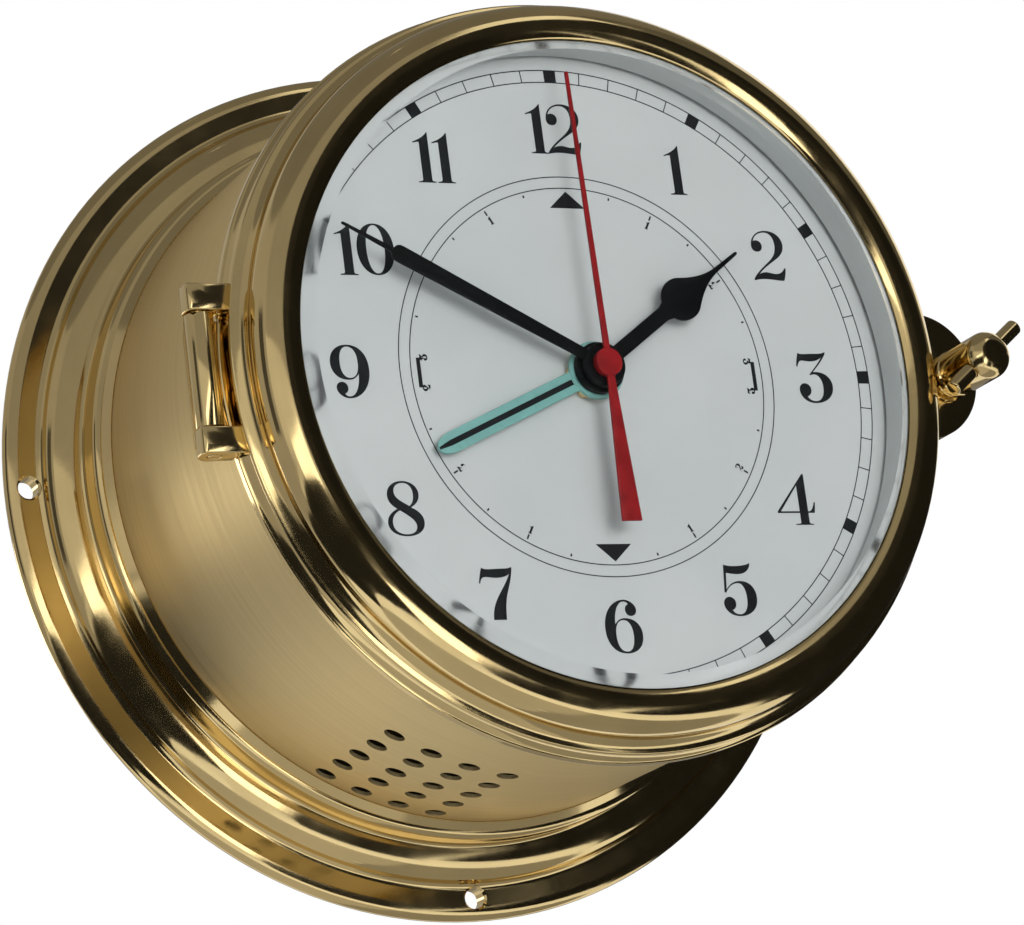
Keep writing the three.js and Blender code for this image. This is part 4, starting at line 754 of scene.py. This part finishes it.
class CLOCK_OT_printing(ClockPiece, bpy.types.Operator):
    """Prints the numerals, the minute track and the tide ring on the dial"""

    bl_idname = "clock.printing"
    bl_label = "Printing"

    CURVE_STEPS = 10
    HALF_BLOCK = 1.3

    # Degrees of one hour of tide, and radii, sizes and outlines of its marks
    HOUR_STEP, MARKS_OUT, FIGURES_IN = 29.03, 37.0, 2.3
    FIGURE_SIZE, FIGURE_SPREAD = 0.15, 0.07
    TRIANGLE = (0, 36.7), (3.75, 33.3), (-3.75, 33.3)
    BRACKET = (36.1, 2.9), (36.1, -2.9), (34.5, -2.9), (34.5, -2.6), (35.3, -2.6), (35.3, 2.6)
    BRACKET += (34.5, 2.6), (34.5, 2.9)

    def make(self, clock):
        dial = clock.dial
        self.face, self.ink, self.line = dial.face / MM, dial.ink / MM, dial.line / MM
        self.lay("hour_numerals", self.numerals())
        self.lay("minute_track", self.track(dial.track_inner / MM, dial.track_outer / MM))
        self.lay("tide_ring", self.tide_ring((dial.tide_ring_inner / MM, dial.tide_ring_outer / MM)))
        self.lay("tide_figures", self.tide_figures(), self.FIGURE_SPREAD)

    def lay(self, name, outlines, spread=0.0):
        piece = printed(name, outlines, self.face, self.ink, spread)
        dress(piece, "case", "black_lacquer", finish="printing_ink")

    def trace(self, path):
        """The points of a drawn outline, with its curves in short steps."""
        words, points = path.split(), []
        while words:
            kind = words.pop(0)
            count = 6 if kind == "C" else 2
            numbers = [float(words.pop(0)) for _ in range(count)]
            pairs = list(zip(numbers[::2], numbers[1::2]))
            if kind != "C":
                points.append(pairs[0])
                continue
            corners = (points[-1], *pairs)
            for i in range(1, self.CURVE_STEPS + 1):
                t = i / self.CURVE_STEPS
                weights = ((1 - t) ** 3, 3 * t * (1 - t) ** 2, 3 * t * t * (1 - t), t**3)
                points.append(tuple(sum(w * c[k] for w, c in zip(weights, corners)) for k in (0, 1)))
        return points[:-1] if math.dist(points[0], points[-1]) < 1e-6 else points

    def digit(self, figure, offset):
        """A digit's outlines about the numeral's middle, in drawing units with y up."""
        nine, middle = figure == "9", DRAWING_MIDDLE
        outlines = [self.trace(path) for path in NUMERAL_PATHS["6" if nine else figure]]
        if nine:
            outlines = [[(SIX_TO_NINE[0] - x, SIX_TO_NINE[1] - y) for x, y in line] for line in outlines]
        return [[(x + offset - middle, middle - y) for x, y in line] for line in outlines]

    def numerals(self):
        return [
            [(x + UNIT * u, z + UNIT * v) for u, v in line]
            for (x, z), digits in NUMERALS
            for figure, offset in digits
            for line in self.digit(figure, offset)
        ]

    def circle(self, radius, steps=240):
        return [spot(radius, 360 * i / steps) for i in range(steps)]

    def sector(self, inner, outer, start, end, steps=4):
        """A closed piece of a ring between two radii and two clock angles."""
        angles = [start + (end - start) * i / steps for i in range(steps + 1)]
        return [spot(inner, a) for a in angles] + [spot(outer, a) for a in reversed(angles)]

    def track(self, inner, outer):
        """A ring with a white cell between each two minutes, and a block at each fifth."""
        line = self.line
        outlines = [self.circle(outer), self.circle(inner)]
        tick, block = math.degrees(line / 2 / outer), math.degrees(self.HALF_BLOCK / outer)
        for minute in range(60):
            start = 6 * minute + (block if minute % 5 == 0 else tick)
            end = 6 * (minute + 1) - (block if minute % 5 == 4 else tick)
            outlines.append(self.sector(inner + line, outer - line, start, end))
        return outlines

    def tide_hours(self):
        """Three hours to each side of high and low water: pole, side, hour and clock angle."""
        places = [(pole, side, hour) for pole in (0, 180) for side in (1, -1) for hour in (1, 2, 3)]
        return [(pole, side, hour, pole + side * self.HOUR_STEP * hour) for pole, side, hour in places]

    def tide_ring(self, circles):
        """Two circles, a triangle at each water, a bracket at each half tide, and ticks."""
        half = self.line / 2
        outlines = []
        for radius in circles:
            outlines += [self.circle(radius + half), self.circle(radius - half)]
        outlines += [[(x, up * z) for x, z in self.TRIANGLE] for up in (1, -1)]
        outlines += [[(side * x, z) for x, z in self.BRACKET] for side in (1, -1)]
        wide = math.degrees(0.85 * self.line / self.MARKS_OUT)
        for _, side, hour, angle in self.tide_hours():
            ticks = [(0.75, angle - side * self.HOUR_STEP / 2)] + ([(1.2, angle)] if hour < 3 else [])
            for tall, middle in ticks:
                radii = self.MARKS_OUT - tall, self.MARKS_OUT - 0.2
                outlines.append(self.sector(*radii, middle - wide, middle + wide, 1))
        return outlines

    def tide_figures(self):
        """The small figures of the tide's hours."""
        outlines, size = [], UNIT * self.FIGURE_SIZE
        for pole, side, hour, angle in self.tide_hours():
            x, z = spot(self.MARKS_OUT - self.FIGURES_IN, angle - side * (2 if hour == 3 else 0))
            turn = math.radians(angle - pole)
            c, s = math.cos(turn), math.sin(turn)
            for line in self.digit(str(hour), 0):
                outlines.append([(x + size * (u * c + v * s), z + size * (v * c - u * s)) for u, v in line])
        return outlines


class CLOCK_OT_bezel(ClockPiece, bpy.types.Operator):
    """Turns the bezel and the ring that holds its glass"""

    bl_idname = "clock.bezel"
    bl_label = "Bezel"

    ROLL, TUCK, INNER_ROUND = 4.75, 19, 3.5
    RETAINER_LIFT = 1.2

    def make(self, clock):
        lip, opening = clock.bezel.lip_radius / MM, clock.bezel.opening_radius / MM
        front, back = clock.bezel.front / MM, clock.bezel.glass_back / MM
        roll, tuck, inner = self.ROLL, self.TUCK, self.INNER_ROUND
        crown, cove, middle = opening + inner, lip - 1.3, front - roll
        waist = crown + roll * math.cos(math.radians(tuck))
        waist_depth = middle - roll * math.sin(math.radians(tuck))
        profile = [(71.2, 77.35), (71.35, 77.2), (lip - 0.2, 77.2), (lip, 77.4), (lip, 78.6)]
        profile += [(lip - 0.15, 78.8), *arc(lip - 0.15, 81.6, 1.15, 2.8, 270, 180, 12)]
        profile += arc(cove, 82.2, 0.45, 0.6, -90, 90, 12)
        profile += arc(cove, waist_depth, cove - waist, waist_depth - 82.8, 270, 180, 12)
        profile += arc(crown, middle, roll, roll, -tuck, 90, 40)
        profile += arc(crown, back + 1.1, inner, front - back - 1.1, 90, 180, 16)
        profile += [(opening, back + 1.05), (66.25, back + 1.05), (66.25, 82.6), (71.2, 82.6)]
        ring = lathe("bezel", profile, clock.case.steps)
        dress(ring, "bezel", "polished_brass", "bezel_ring")
        low, high = clock.dial.face / MM + self.RETAINER_LIFT, back - 0.05
        profile = [(opening + 0.3, low + 0.2), (opening + 0.5, low), (65.9, low), (66.1, low + 0.2)]
        retainer = lathe("glass_retainer", profile + [(66.1, high), (opening, high)], clock.case.steps)
        dress(retainer, "bezel", "white_enamel", "glass_retaining_ring")


class CLOCK_OT_glass(ClockPiece, bpy.types.Operator):
    """Grinds the flat glass with its bevelled edge"""

    bl_idname = "clock.glass"
    bl_label = "Glass"

    EDGE, THICKNESS = 0.85, 2.75

    def make(self, clock):
        opening, back = clock.bezel.opening_radius / MM, clock.bezel.glass_back / MM
        edge, bevel = back + self.EDGE, back + self.THICKNESS
        profile = [(0, back), (66.0, back), (66.1, back + 0.1), (66.1, edge - 0.1), (66.0, edge)]
        profile += [(opening - 0.05, edge), (opening - GLASS_BEVEL, bevel), (0, bevel)]
        glass = lathe("glass", profile, clock.case.steps)
        dress(glass, "bezel", "clear_glass", "bezel_glass", sharp=5)


class CLOCK_OT_hinge(ClockPiece, bpy.types.Operator):
    """Makes the hinge: two lugs on the bezel, the knuckle on the case and the pin"""

    bl_idname = "clock.hinge"
    bl_label = "Hinge"

    AXIS_X, AXIS_DEPTH = -78.2, 79.3
    PIN, PIN_HALF, BORE, BORE_HALF = 1.2, 16.1, 1.35, 20
    BARREL, BARREL_HALF, LUG_HEIGHT = 2.7, 10.7, 5.1

    def make(self, clock):
        lip, drum, steps = clock.bezel.lip_radius / MM, clock.case.drum_radius / MM, clock.case.steps
        outer, inner = lip + WALL_GAP, lip - 1.6
        rim = [(0, 60), (outer, 60), (outer, 79), (inner, 79), (inner, 100), (0, 100)]
        lug = self.lug()
        for side, rise in (("upper", 11.0), ("lower", -16.1)):
            piece = copy_of(lug, f"hinge_lug_{side}", Matrix.Translation(flat(0, 0, rise)))
            cut(piece, self.rod("lug_bore", self.BORE, self.BORE_HALF), lathe("rim", rim, steps))
            soften(piece, 0.25, 3)
            dress(piece, "bezel", "polished_brass", f"bezel_hinge_lug_{side}")
        bpy.data.objects.remove(lug)
        dress(self.knuckle(drum, steps), "case", "polished_brass", "case_hinge_knuckle")
        pin = self.rod("hinge_pin_rod", self.PIN, self.PIN_HALF)
        soften(pin, 0.3, 3)
        dress(pin, "case", "polished_brass", "hinge_pin")

    def rod(self, name, radius, half):
        clear_selection()
        place = flat(self.AXIS_X, self.AXIS_DEPTH)
        bpy.ops.mesh.primitive_cylinder_add(
            vertices=40, radius=radius * MM, depth=2 * half * MM, location=place
        )
        rod = bpy.context.object
        rod.name = rod.data.name = name
        bpy.ops.object.transform_apply(location=True, rotation=True, scale=True)
        return rod

    def lug(self):
        """A block with a small front corner and its rear rounded about the pin."""
        x, depth = self.AXIS_X, self.AXIS_DEPTH
        corner = arc(x - 2.1, depth + 2.1, 0.9, 0.9, 90, 180, 6)
        outline = [*corner, *arc(x, depth, 3, 3, 180, 300, 16), (-66, depth - 1.5), (-66, depth + 3)]
        return bar("hinge_lug", without_repeats(outline), 0, self.LUG_HEIGHT)

    def knuckle(self, drum, steps):
        """A barrel with a leaf that runs down to the drum."""
        barrel = self.rod("hinge_knuckle", self.BARREL, self.BARREL_HALF)
        x, depth = self.AXIS_X, self.AXIS_DEPTH
        front, toe = 76.7, 65.7
        outline = [(x - 2.537, depth - 0.923), (x + 2.6, depth), (x + 2.6, front)]
        outline += [(-drum + 2, front), (-drum + 2, toe), (-(drum + 3.5), toe)]
        weld(barrel, bar("hinge_leaf", outline, -self.BARREL_HALF, self.BARREL_HALF))
        wall = post("wall", drum + WALL_GAP, 0, 77.3, steps)
        cut(barrel, wall, self.rod("knuckle_bore", self.BORE, self.BORE_HALF))
        soften(barrel, 0.2)
        return barrel


class CLOCK_OT_latch(ClockPiece, bpy.types.Operator):
    """Makes the screw latch: ear, case lug, washer, knob and tommy bar"""

    bl_idname = "clock.latch"
    bl_label = "Latch"

    AXIS_X, BORE = 79.8, 2.3
    SHANK, ROOT, PITCH = 2.0, 1.75, 0.5
    BAR_CLOCK, BAR_DEPTH, BAR_RADIUS, BAR_HALF = 52, 94.2, 1.6, 10.6

    def make(self, clock):
        lip, drum, steps = clock.bezel.lip_radius / MM, clock.case.drum_radius / MM, clock.case.steps
        axis = (self.AXIS_X, 0)
        ear = post("latch_ear", 12.9, 77.4, 82.0, 96, (lip - 2.6, 0))
        cut(ear, post("rim", lip + WALL_GAP, 70, 90, steps), post("bore", self.BORE, 60, 90, 40, axis))
        soften(ear, 0.5, 4)
        dress(ear, "bezel", "polished_brass", "bezel_latch_ear")
        outline = [(drum - 2, -5), *arc(self.AXIS_X, 0, 5, 5, -90, 90, 20), (drum - 2, 5)]
        lug = plate("latch_lug", outline, 70.95, 76.95)
        cut(lug, post("wall", drum + WALL_GAP, 60, 80, steps), post("bore", self.BORE, 60, 90, 40, axis))
        soften(lug, 0.3, 3)
        dress(lug, "case", "polished_brass", "case_latch_lug")
        profile = [(self.BORE, 82.05), (4.3, 82.05), (4.4, 82.15), (4.4, 82.6), (4.25, 82.75)]
        washer = lathe("latch_ring", profile + [(2.4, 82.75), (self.BORE, 82.65)], 48, axis)
        dress(washer, "latch_washer", "polished_brass", "latch_washer")
        screw = lathe("latch_knob", self.screw_profile(clock.bezel.knob_radius / MM), 64, axis)
        cut(screw, self.crossbar("cross_bore", self.BAR_RADIUS + 0.15, 8, 0.05))
        soften(screw, 0.2, 3)
        dress(screw, "latch_screw", "polished_brass", "latch_screw")
        tommy = self.crossbar("tommy_bar", self.BAR_RADIUS, self.BAR_HALF, 0.5)
        dress(tommy, "latch_screw", "polished_brass", "latch_tommy_bar")

    def screw_profile(self, knob):
        """A threaded shank below a round knob, with a collar at the knob's foot."""
        depth = 73.7
        profile = [(0, 73.45), (1.5, 73.45), (self.ROOT, depth)]
        while depth < 76.5:
            crest = [(self.SHANK, depth + 0.2), (self.SHANK, depth + 0.3)]
            profile += crest + [(self.ROOT, depth + self.PITCH)]
            depth += self.PITCH
        profile += [(self.SHANK, depth + 0.2), (self.SHANK, 82.8), (knob - 0.6, 82.8), (knob, 83.4)]
        profile += [(knob, 84.6), (knob - 0.35, 84.8), (knob - 0.35, 85.1), (knob, 85.3)]
        return profile + arc(knob - 2.8, 95.2, 2.8, 2.8, 0, 90, 12) + [(0, 98.0)]

    def crossbar(self, name, radius, half, round_end):
        """A round bar with rounded ends, square to the screw."""
        profile = [(0, -half)]
        profile += arc(radius - round_end, round_end - half, round_end, round_end, -90, 0, 6)
        profile += arc(radius - round_end, half - round_end, round_end, round_end, 0, 90, 6)
        made = lathe(name, profile + [(0, half)], 40)
        upright = Matrix.Rotation(math.pi / 2, 4, "X")
        place = Matrix.Translation(flat(self.AXIS_X, self.BAR_DEPTH))
        made.data.transform(place @ about_clock(self.BAR_CLOCK) @ upright)
        return made


class CLOCK_OT_hands(ClockPiece, bpy.types.Operator):
    """Cuts the four hands with their hubs, and the nut below them"""

    bl_idname = "clock.hands"
    bl_label = "Hands"

    # Clock angle, blade's rear and front, then hub's bore, radius, rear and front, from the dial's face
    TIDE = 246, (2.1, 2.7), (2.9, 5.7, 2.05, 2.95)
    HOUR = 54.5, (3.95, 4.55), (2.2, 5.0, 3.15, 4.75)
    MINUTE = 298, (5.75, 6.35), (1.4, 4.3, 4.95, 6.55)
    SECOND = 359.4, (7.55, 8.15), (0, 2.75, 6.75, 8.35)

    TIDE_HALF, NUT_RADIUS = 2.05, 5.54

    def make(self, clock):
        face = self.face = clock.dial.face / MM
        tide = self.hand("tide_pointer", self.tide_outline(), *self.TIDE)
        dress(tide, "tide", "aqua_plastic", "tide_hand")
        outline = mirrored([(0.55, 5.9), (0.55, 35.4), (0.25, 38.1)])
        line = plate("tide_line", outline, face + 2.71, face + 2.75)
        line.data.transform(about_clock(self.TIDE[0]))
        dress(line, "tide", "black_lacquer", finish="printing_ink")
        hour = self.hand("hour_pointer", self.hour_outline(), *self.HOUR)
        dress(hour, "hour", "black_lacquer", "hour_hand")
        minute = self.hand("minute_pointer", self.minute_outline(), *self.MINUTE)
        dress(minute, "minute", "black_lacquer", "minute_hand")
        outline = mirrored([(2.1, -31), (0.65, 0), (0.35, 58.0), (0.2, 58.2)])
        second = self.hand("second_pointer", outline, *self.SECOND)
        dress(second, "second", "red_lacquer", "second_hand")
        corners = [spot(self.NUT_RADIUS, 60 * i + 30) for i in range(6)]
        nut = plate("hub_nut", corners, face + 0.05, face + 1.85)
        cut(nut, post("nut_bore", MIDDLE_HOLE, face - 1, face + 3, 48))
        soften(nut, 0.25, 3)
        dress(nut, "case", "polished_brass", "fixing_nut")

    def hand(self, name, outline, clock, blade_depths, hub):
        """A blade with softened edges welded to its hub, at a clock angle."""
        low, high = (self.face + depth for depth in blade_depths)
        blade = plate(name, outline, low, high)
        soften(blade, 0.12)
        bore, radius, rear, front = hub
        rear, front = self.face + rear, self.face + front
        profile = [(bore, rear), (radius - 0.1, rear), (radius, rear + 0.1), (radius, front - 0.25)]
        profile += [*arc(radius - 0.25, front - 0.25, 0.25, 0.25, 0, 90, 4), (bore, front)]
        weld(blade, lathe("hub", profile, 64))
        blade.data.transform(about_clock(clock))
        return blade

    def tide_outline(self):
        """A bar with a drawn out tip."""
        half = self.TIDE_HALF
        return [(-half, 4), (half, 4), *arc(0, 34.6, half, 3.7, 0, 180, 20)]

    def hour_outline(self):
        """A stem, a round bulb and a hollow taper to the tip."""
        right = [(1.5, 3.5), (1.5, 18.8), *arc(0, 24, 4.3, 4.3, -62, 40, 12)]
        for i in range(1, 9):
            t = i / 8
            right.append((3.29 * (1 - t) ** 2 + 0.5 * (1 - (1 - t) ** 2), 26.76 + 8.24 * t))
        return mirrored(right + [(0.35, 40.4), (0.15, 40.8)])

    def minute_outline(self):
        """A blade that widens to a shoulder, and a thin tip."""
        shoulder = arc(0.5, 44.9, 1.2, 1.5, 0, 90, 6)[1:]
        return mirrored([(1.1, 3), (1.7, 44.2), *shoulder, (0.45, 47.5), (0.22, 57.2), (0.1, 57.5)])


class CLOCK_OT_movement(ClockPiece, bpy.types.Operator):
    """Models the cell and the setting knob, and paints the movement's solids"""

    bl_idname = "clock.movement"
    bl_label = "Movement"

    def make(self, clock):
        self.cell()
        self.knob()
        for row in frame["record"]["subparts"]:
            node = frame["nodes"][row["node"]]
            if node.hide_render:
                continue
            node.data.materials.clear()
            node.data.materials.append(finish_named(row["material_slot"]))

    def cell(self):
        low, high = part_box("battery_cell")
        half = (high.x - low.x) / 2 / MM
        radius = (high.z - low.z) / 2 / MM
        profile = [(0, -half), (radius - 1.2, -half), (radius - 0.9, 0.25 - half)]
        profile += [(radius - 0.5, 0.25 - half), (radius - 0.1, 0.5 - half), (radius, 0.9 - half)]
        profile += [(radius, half - 2.4), (radius - 0.1, half - 2.0), (radius - 0.6, half - 1.75)]
        profile += [(radius - 0.9, half - 1.75), (radius - 1.2, half - 1.4), (3.0, half - 1.4)]
        profile += [(2.7, half - 1.3), (2.7, half - 0.2), (2.5, half), (0, half)]
        cell = lathe("cell", profile, 64)
        lie = Matrix.Rotation(math.pi / 2, 4, "Z")
        cell.data.transform(Matrix.Translation((low + high) / 2) @ lie)
        dress(cell, "case", "cell_wrap", "battery_cell")

    def knob(self):
        low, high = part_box("time_setting_knob")
        middle = (low + high) / 2 / MM
        radius = (high.z - low.z) / 2 / MM
        rear, front = -high.y / MM, -low.y / MM
        profile = [(0, rear + 0.6), (radius - 2.2, rear + 0.6), (radius - 1.8, rear), (radius - 0.5, rear)]
        profile += [(radius, rear + 0.5), (radius, front - 0.4), (radius - 0.4, front), (0, front)]
        knob = lathe("setting_wheel", profile, 72, (middle.x, middle.z))
        dress(knob, "motion", "black_plastic", "time_setting_knob")


class CLOCK_OT_stage(ClockPiece, bpy.types.Operator):
    """Sets the floor, the soft light, the screens and the camera"""

    bl_idname = "clock.stage"
    bl_label = "Stage"

    AZIMUTH, ELEVATION, ROLL = -27.484, -14.681, -7.475
    TARGET, DISTANCE = (7.3, 30, -2.487), 830.352
    MIDDLE = Vector((0, -0.05, 0))
    LAMP_PLACE, LAMP_SIZE = Vector((-0.18, -1.7, -0.05)), 0.5

    # White that the floor shows to the rays that see the background
    FLOOR_LIFT = 0.55

    # Screens seen only in reflections: distance, brightness, and four corners as azimuth and elevation
    SCREENS = (
        ("ceiling", 2.2, 0.18, ((-180, 45), (180, 45), (180, 89), (-180, 89))),
        ("floor_glow", 1.05, 0.5, ((-180, -89), (20, -89), (20, -47), (-180, -47))),
        ("floor_right", 1.05, 0.3, ((20, -89), (180, -89), (180, -47), (20, -47))),
        ("wall_back", 2.1, 0.42, ((-192, -47), (-142, -47), (-142, 46), (-192, 46))),
        ("wall_right", 2.1, 0.24, ((-220, -47), (-192, -47), (-192, 46), (-220, 46))),
        ("glow_back", 1.7, 3.0, ((-178, -3), (-147, -3), (-147, 8), (-178, 8))),
        ("glow_low", 1.7, 0.75, ((-176, -36), (-148, -36), (-148, -20), (-176, -20))),
        ("wall_left", 2.1, 0.36, ((-142, -30), (-60, -30), (-60, 46), (-142, 46))),
        ("dark_post", 1.9, 0.06, ((-97, -2), (-78, -2), (-76, 26), (-97, 26))),
        ("wall_front", 2.1, 0.3, ((-61, -16), (24, 6), (24, 46), (-61, 46))),
        ("glow_front", 1.9, 0.62, ((-68, -8), (12, 7), (18, 14), (-66, 20))),
        ("window_left", 1.5, 2.4, ((-48, -9), (4, 5), (6, 12), (-48, -2))),
        ("window_tail", 1.5, 0.7, ((-85, -19), (-48, -9), (-48, -4), (-85, -16))),
        ("table_right", 1.45, 0.012, ((-30, -33), (8, -14), (27, 14), (-30, -4))),
        ("table_middle", 1.45, 0.012, ((-95, -49), (-30, -33), (-30, -4), (-95, -21))),
        ("table_left", 1.45, 0.012, ((-138, -26), (-95, -49), (-95, -21), (-138, -17))),
        ("window_front", 1.3, 2.6, ((-6, -21), (3, -23), (22, 8), (0, -6))),
        ("window_low", 1.3, 0.9, ((-42, -58), (-26, -58), (3, -23), (-6, -21))),
        ("dark_gap", 1.35, 0.015, ((0, -34), (20, -32), (30, 14), (4, -20))),
        ("dark_mirror", 1.6, 0.02, ((13, 11), (42, 2), (42, 36), (13, 22.8))),
        ("dark_right", 1.45, 0.008, ((24, -26), (80, -42), (80, 20), (32, 34))),
        ("grey_right", 1.5, 0.11, ((34, 20), (96, 12), (96, 50), (38, 50))),
        ("dark_back", 1.45, 0.008, ((80, -42), (140, -22), (140, 6), (80, 13))),
    )

    def make(self, clock):
        stage = clock.stage
        bpy.context.scene.view_settings.view_transform = "Standard"
        self.floor(stage.floor_height)
        self.surroundings(stage.surroundings)
        self.lamp(stage.front_power)
        for screen in self.SCREENS:
            self.screen(*screen)
        self.camera(stage.lens)

    def floor(self, height):
        clear_selection()
        bpy.ops.mesh.primitive_plane_add(size=12, location=(0, 0, height))
        floor = bpy.context.object
        floor.name = "floor"
        paint = Paint("pale_floor", roughness=0.8, emission_color=(1, 1, 1, 1))
        paint.feed("Base Color", paint.tint(paint.noise(3, 2), (0.8, 0.8, 0.8), (0.84, 0.84, 0.84)))
        lift = {0: background_rays(paint.tree), 1: self.FLOOR_LIFT}
        paint.feed("Emission Strength", paint.node("ShaderNodeMath", lift, operation="MULTIPLY").outputs[0])
        paint.material.cycles.emission_sampling = "NONE"
        floor.data.materials.append(paint.material)

    def surroundings(self, strength):
        """A white background to the camera, in reflections and through glass, and softer light."""
        world = bpy.context.scene.world or bpy.data.worlds.new("studio")
        bpy.context.scene.world = world
        world.use_nodes = True
        tree = world.node_tree
        tree.nodes.clear()
        light = add_node(tree, "ShaderNodeBackground", {"Color": (0.96, 0.98, 1, 1), "Strength": strength})
        white = add_node(tree, "ShaderNodeBackground", {"Color": (1, 1, 1, 1), "Strength": 1})
        sides = {0: background_rays(tree), 1: light.outputs[0], 2: white.outputs[0]}
        mix = add_node(tree, "ShaderNodeMixShader", sides)
        add_node(tree, "ShaderNodeOutputWorld", {"Surface": mix.outputs[0]})

    def lamp(self, power):
        """A soft lamp that faces the clock's middle and isn't mirrored."""
        turn = (self.LAMP_PLACE - self.MIDDLE).to_track_quat("Z", "Y").to_euler()
        bpy.ops.object.light_add(type="AREA", location=self.LAMP_PLACE, rotation=turn)
        lamp = bpy.context.object
        lamp.name = "softbox_front"
        lamp.data.shape = "RECTANGLE"
        lamp.data.size = lamp.data.size_y = self.LAMP_SIZE
        lamp.data.energy = power
        lamp.visible_glossy = False

    def heading(self, azimuth, elevation):
        """A direction from the clock: azimuth 0 is straight in front of the dial, 90 at its right."""
        turn, rise = math.radians(azimuth), math.radians(elevation)
        return Vector((math.sin(turn) * math.cos(rise), -math.cos(turn) * math.cos(rise), math.sin(rise)))

    def screen(self, name, distance, brightness, corners):
        """A curved screen about the clock between four corners, seen only in reflections."""
        clear_selection()
        bpy.ops.mesh.primitive_grid_add(x_subdivisions=48, y_subdivisions=12, size=1)
        screen = bpy.context.object
        screen.name = screen.data.name = name
        low_left, low_right, high_right, high_left = (Vector(corner) for corner in corners)
        for vertex in screen.data.vertices:
            across, up = vertex.co.x + 0.5, vertex.co.y + 0.5
            low, high = low_left.lerp(low_right, across), high_left.lerp(high_right, across)
            vertex.co = self.MIDDLE + distance * self.heading(*low.lerp(high, up))
        paint = Paint(name, roughness=1.0, base_color=(0, 0, 0, 1), emission_strength=brightness)
        grey = paint.tint(paint.noise(2, 2), (0.9, 0.88, 0.84), (1, 0.98, 0.95), 0, 1)
        paint.feed("Emission Color", grey)
        paint.mix_with_clear("Glossy Depth", clear_first=True)
        paint.material.cycles.emission_sampling = "NONE"
        screen.data.materials.append(paint.material)
        screen.visible_camera = screen.visible_diffuse = screen.visible_shadow = False

    def camera(self, lens):
        back = self.heading(self.AZIMUTH, self.ELEVATION)
        right = Vector((0, 0, 1)).cross(back).normalized()
        up = back.cross(right)
        c, s = math.cos(math.radians(self.ROLL)), math.sin(math.radians(self.ROLL))
        right, up = c * right + s * up, c * up - s * right
        place = flat(*self.TARGET) + back * self.DISTANCE * MM
        bpy.ops.object.camera_add()
        camera = bpy.context.object
        camera.matrix_world = Matrix.Translation(place) @ Matrix((right, up, back)).transposed().to_4x4()
        camera.data.sensor_width = 36
        camera.data.lens = lens
        camera.data.clip_start, camera.data.clip_end = 0.01, 50
        bpy.context.scene.camera = camera


PIECE_OPERATORS = (
    CLOCK_OT_wall_flange,
    CLOCK_OT_drum,
    CLOCK_OT_dial,
    CLOCK_OT_printing,
    CLOCK_OT_bezel,
    CLOCK_OT_glass,
    CLOCK_OT_hinge,
    CLOCK_OT_latch,
    CLOCK_OT_hands,
    CLOCK_OT_movement,
    CLOCK_OT_stage,
)


class CLOCK_PT_sidebar(bpy.types.Panel):
    """Lists the clock's pieces and settings"""

    bl_idname = "CLOCK_PT_sidebar"
    bl_label = "Bulkhead clock"
    bl_space_type = "VIEW_3D"
    bl_region_type = "UI"
    bl_category = "Clock"

    def draw(self, context):
        for operator in PIECE_OPERATORS:
            self.layout.operator(operator.bl_idname)
        for group in ("case", "bezel", "dial", "finish", "stage"):
            settings = getattr(context.scene.clock, group)
            box = self.layout.box()
            for name in settings.bl_rna.properties.keys():
                if name not in ("name", "rna_type"):
                    box.prop(settings, name)


CLASSES = (
    CaseSizes,
    BezelSizes,
    DialSizes,
    Finishes,
    StageSettings,
    ClockSettings,
    *PIECE_OPERATORS,
    CLOCK_PT_sidebar,
)


def register():
    for cls in CLASSES:
        bpy.utils.register_class(cls)
    bpy.types.Scene.clock = PointerProperty(type=ClockSettings)


def unregister():
    del bpy.types.Scene.clock
    for cls in reversed(CLASSES):
        bpy.utils.unregister_class(cls)


def main():
    register()
    for operator in PIECE_OPERATORS:
        group, name = operator.bl_idname.split(".")
        getattr(getattr(bpy.ops, group), name)()


if __name__ == "__main__":
    main()
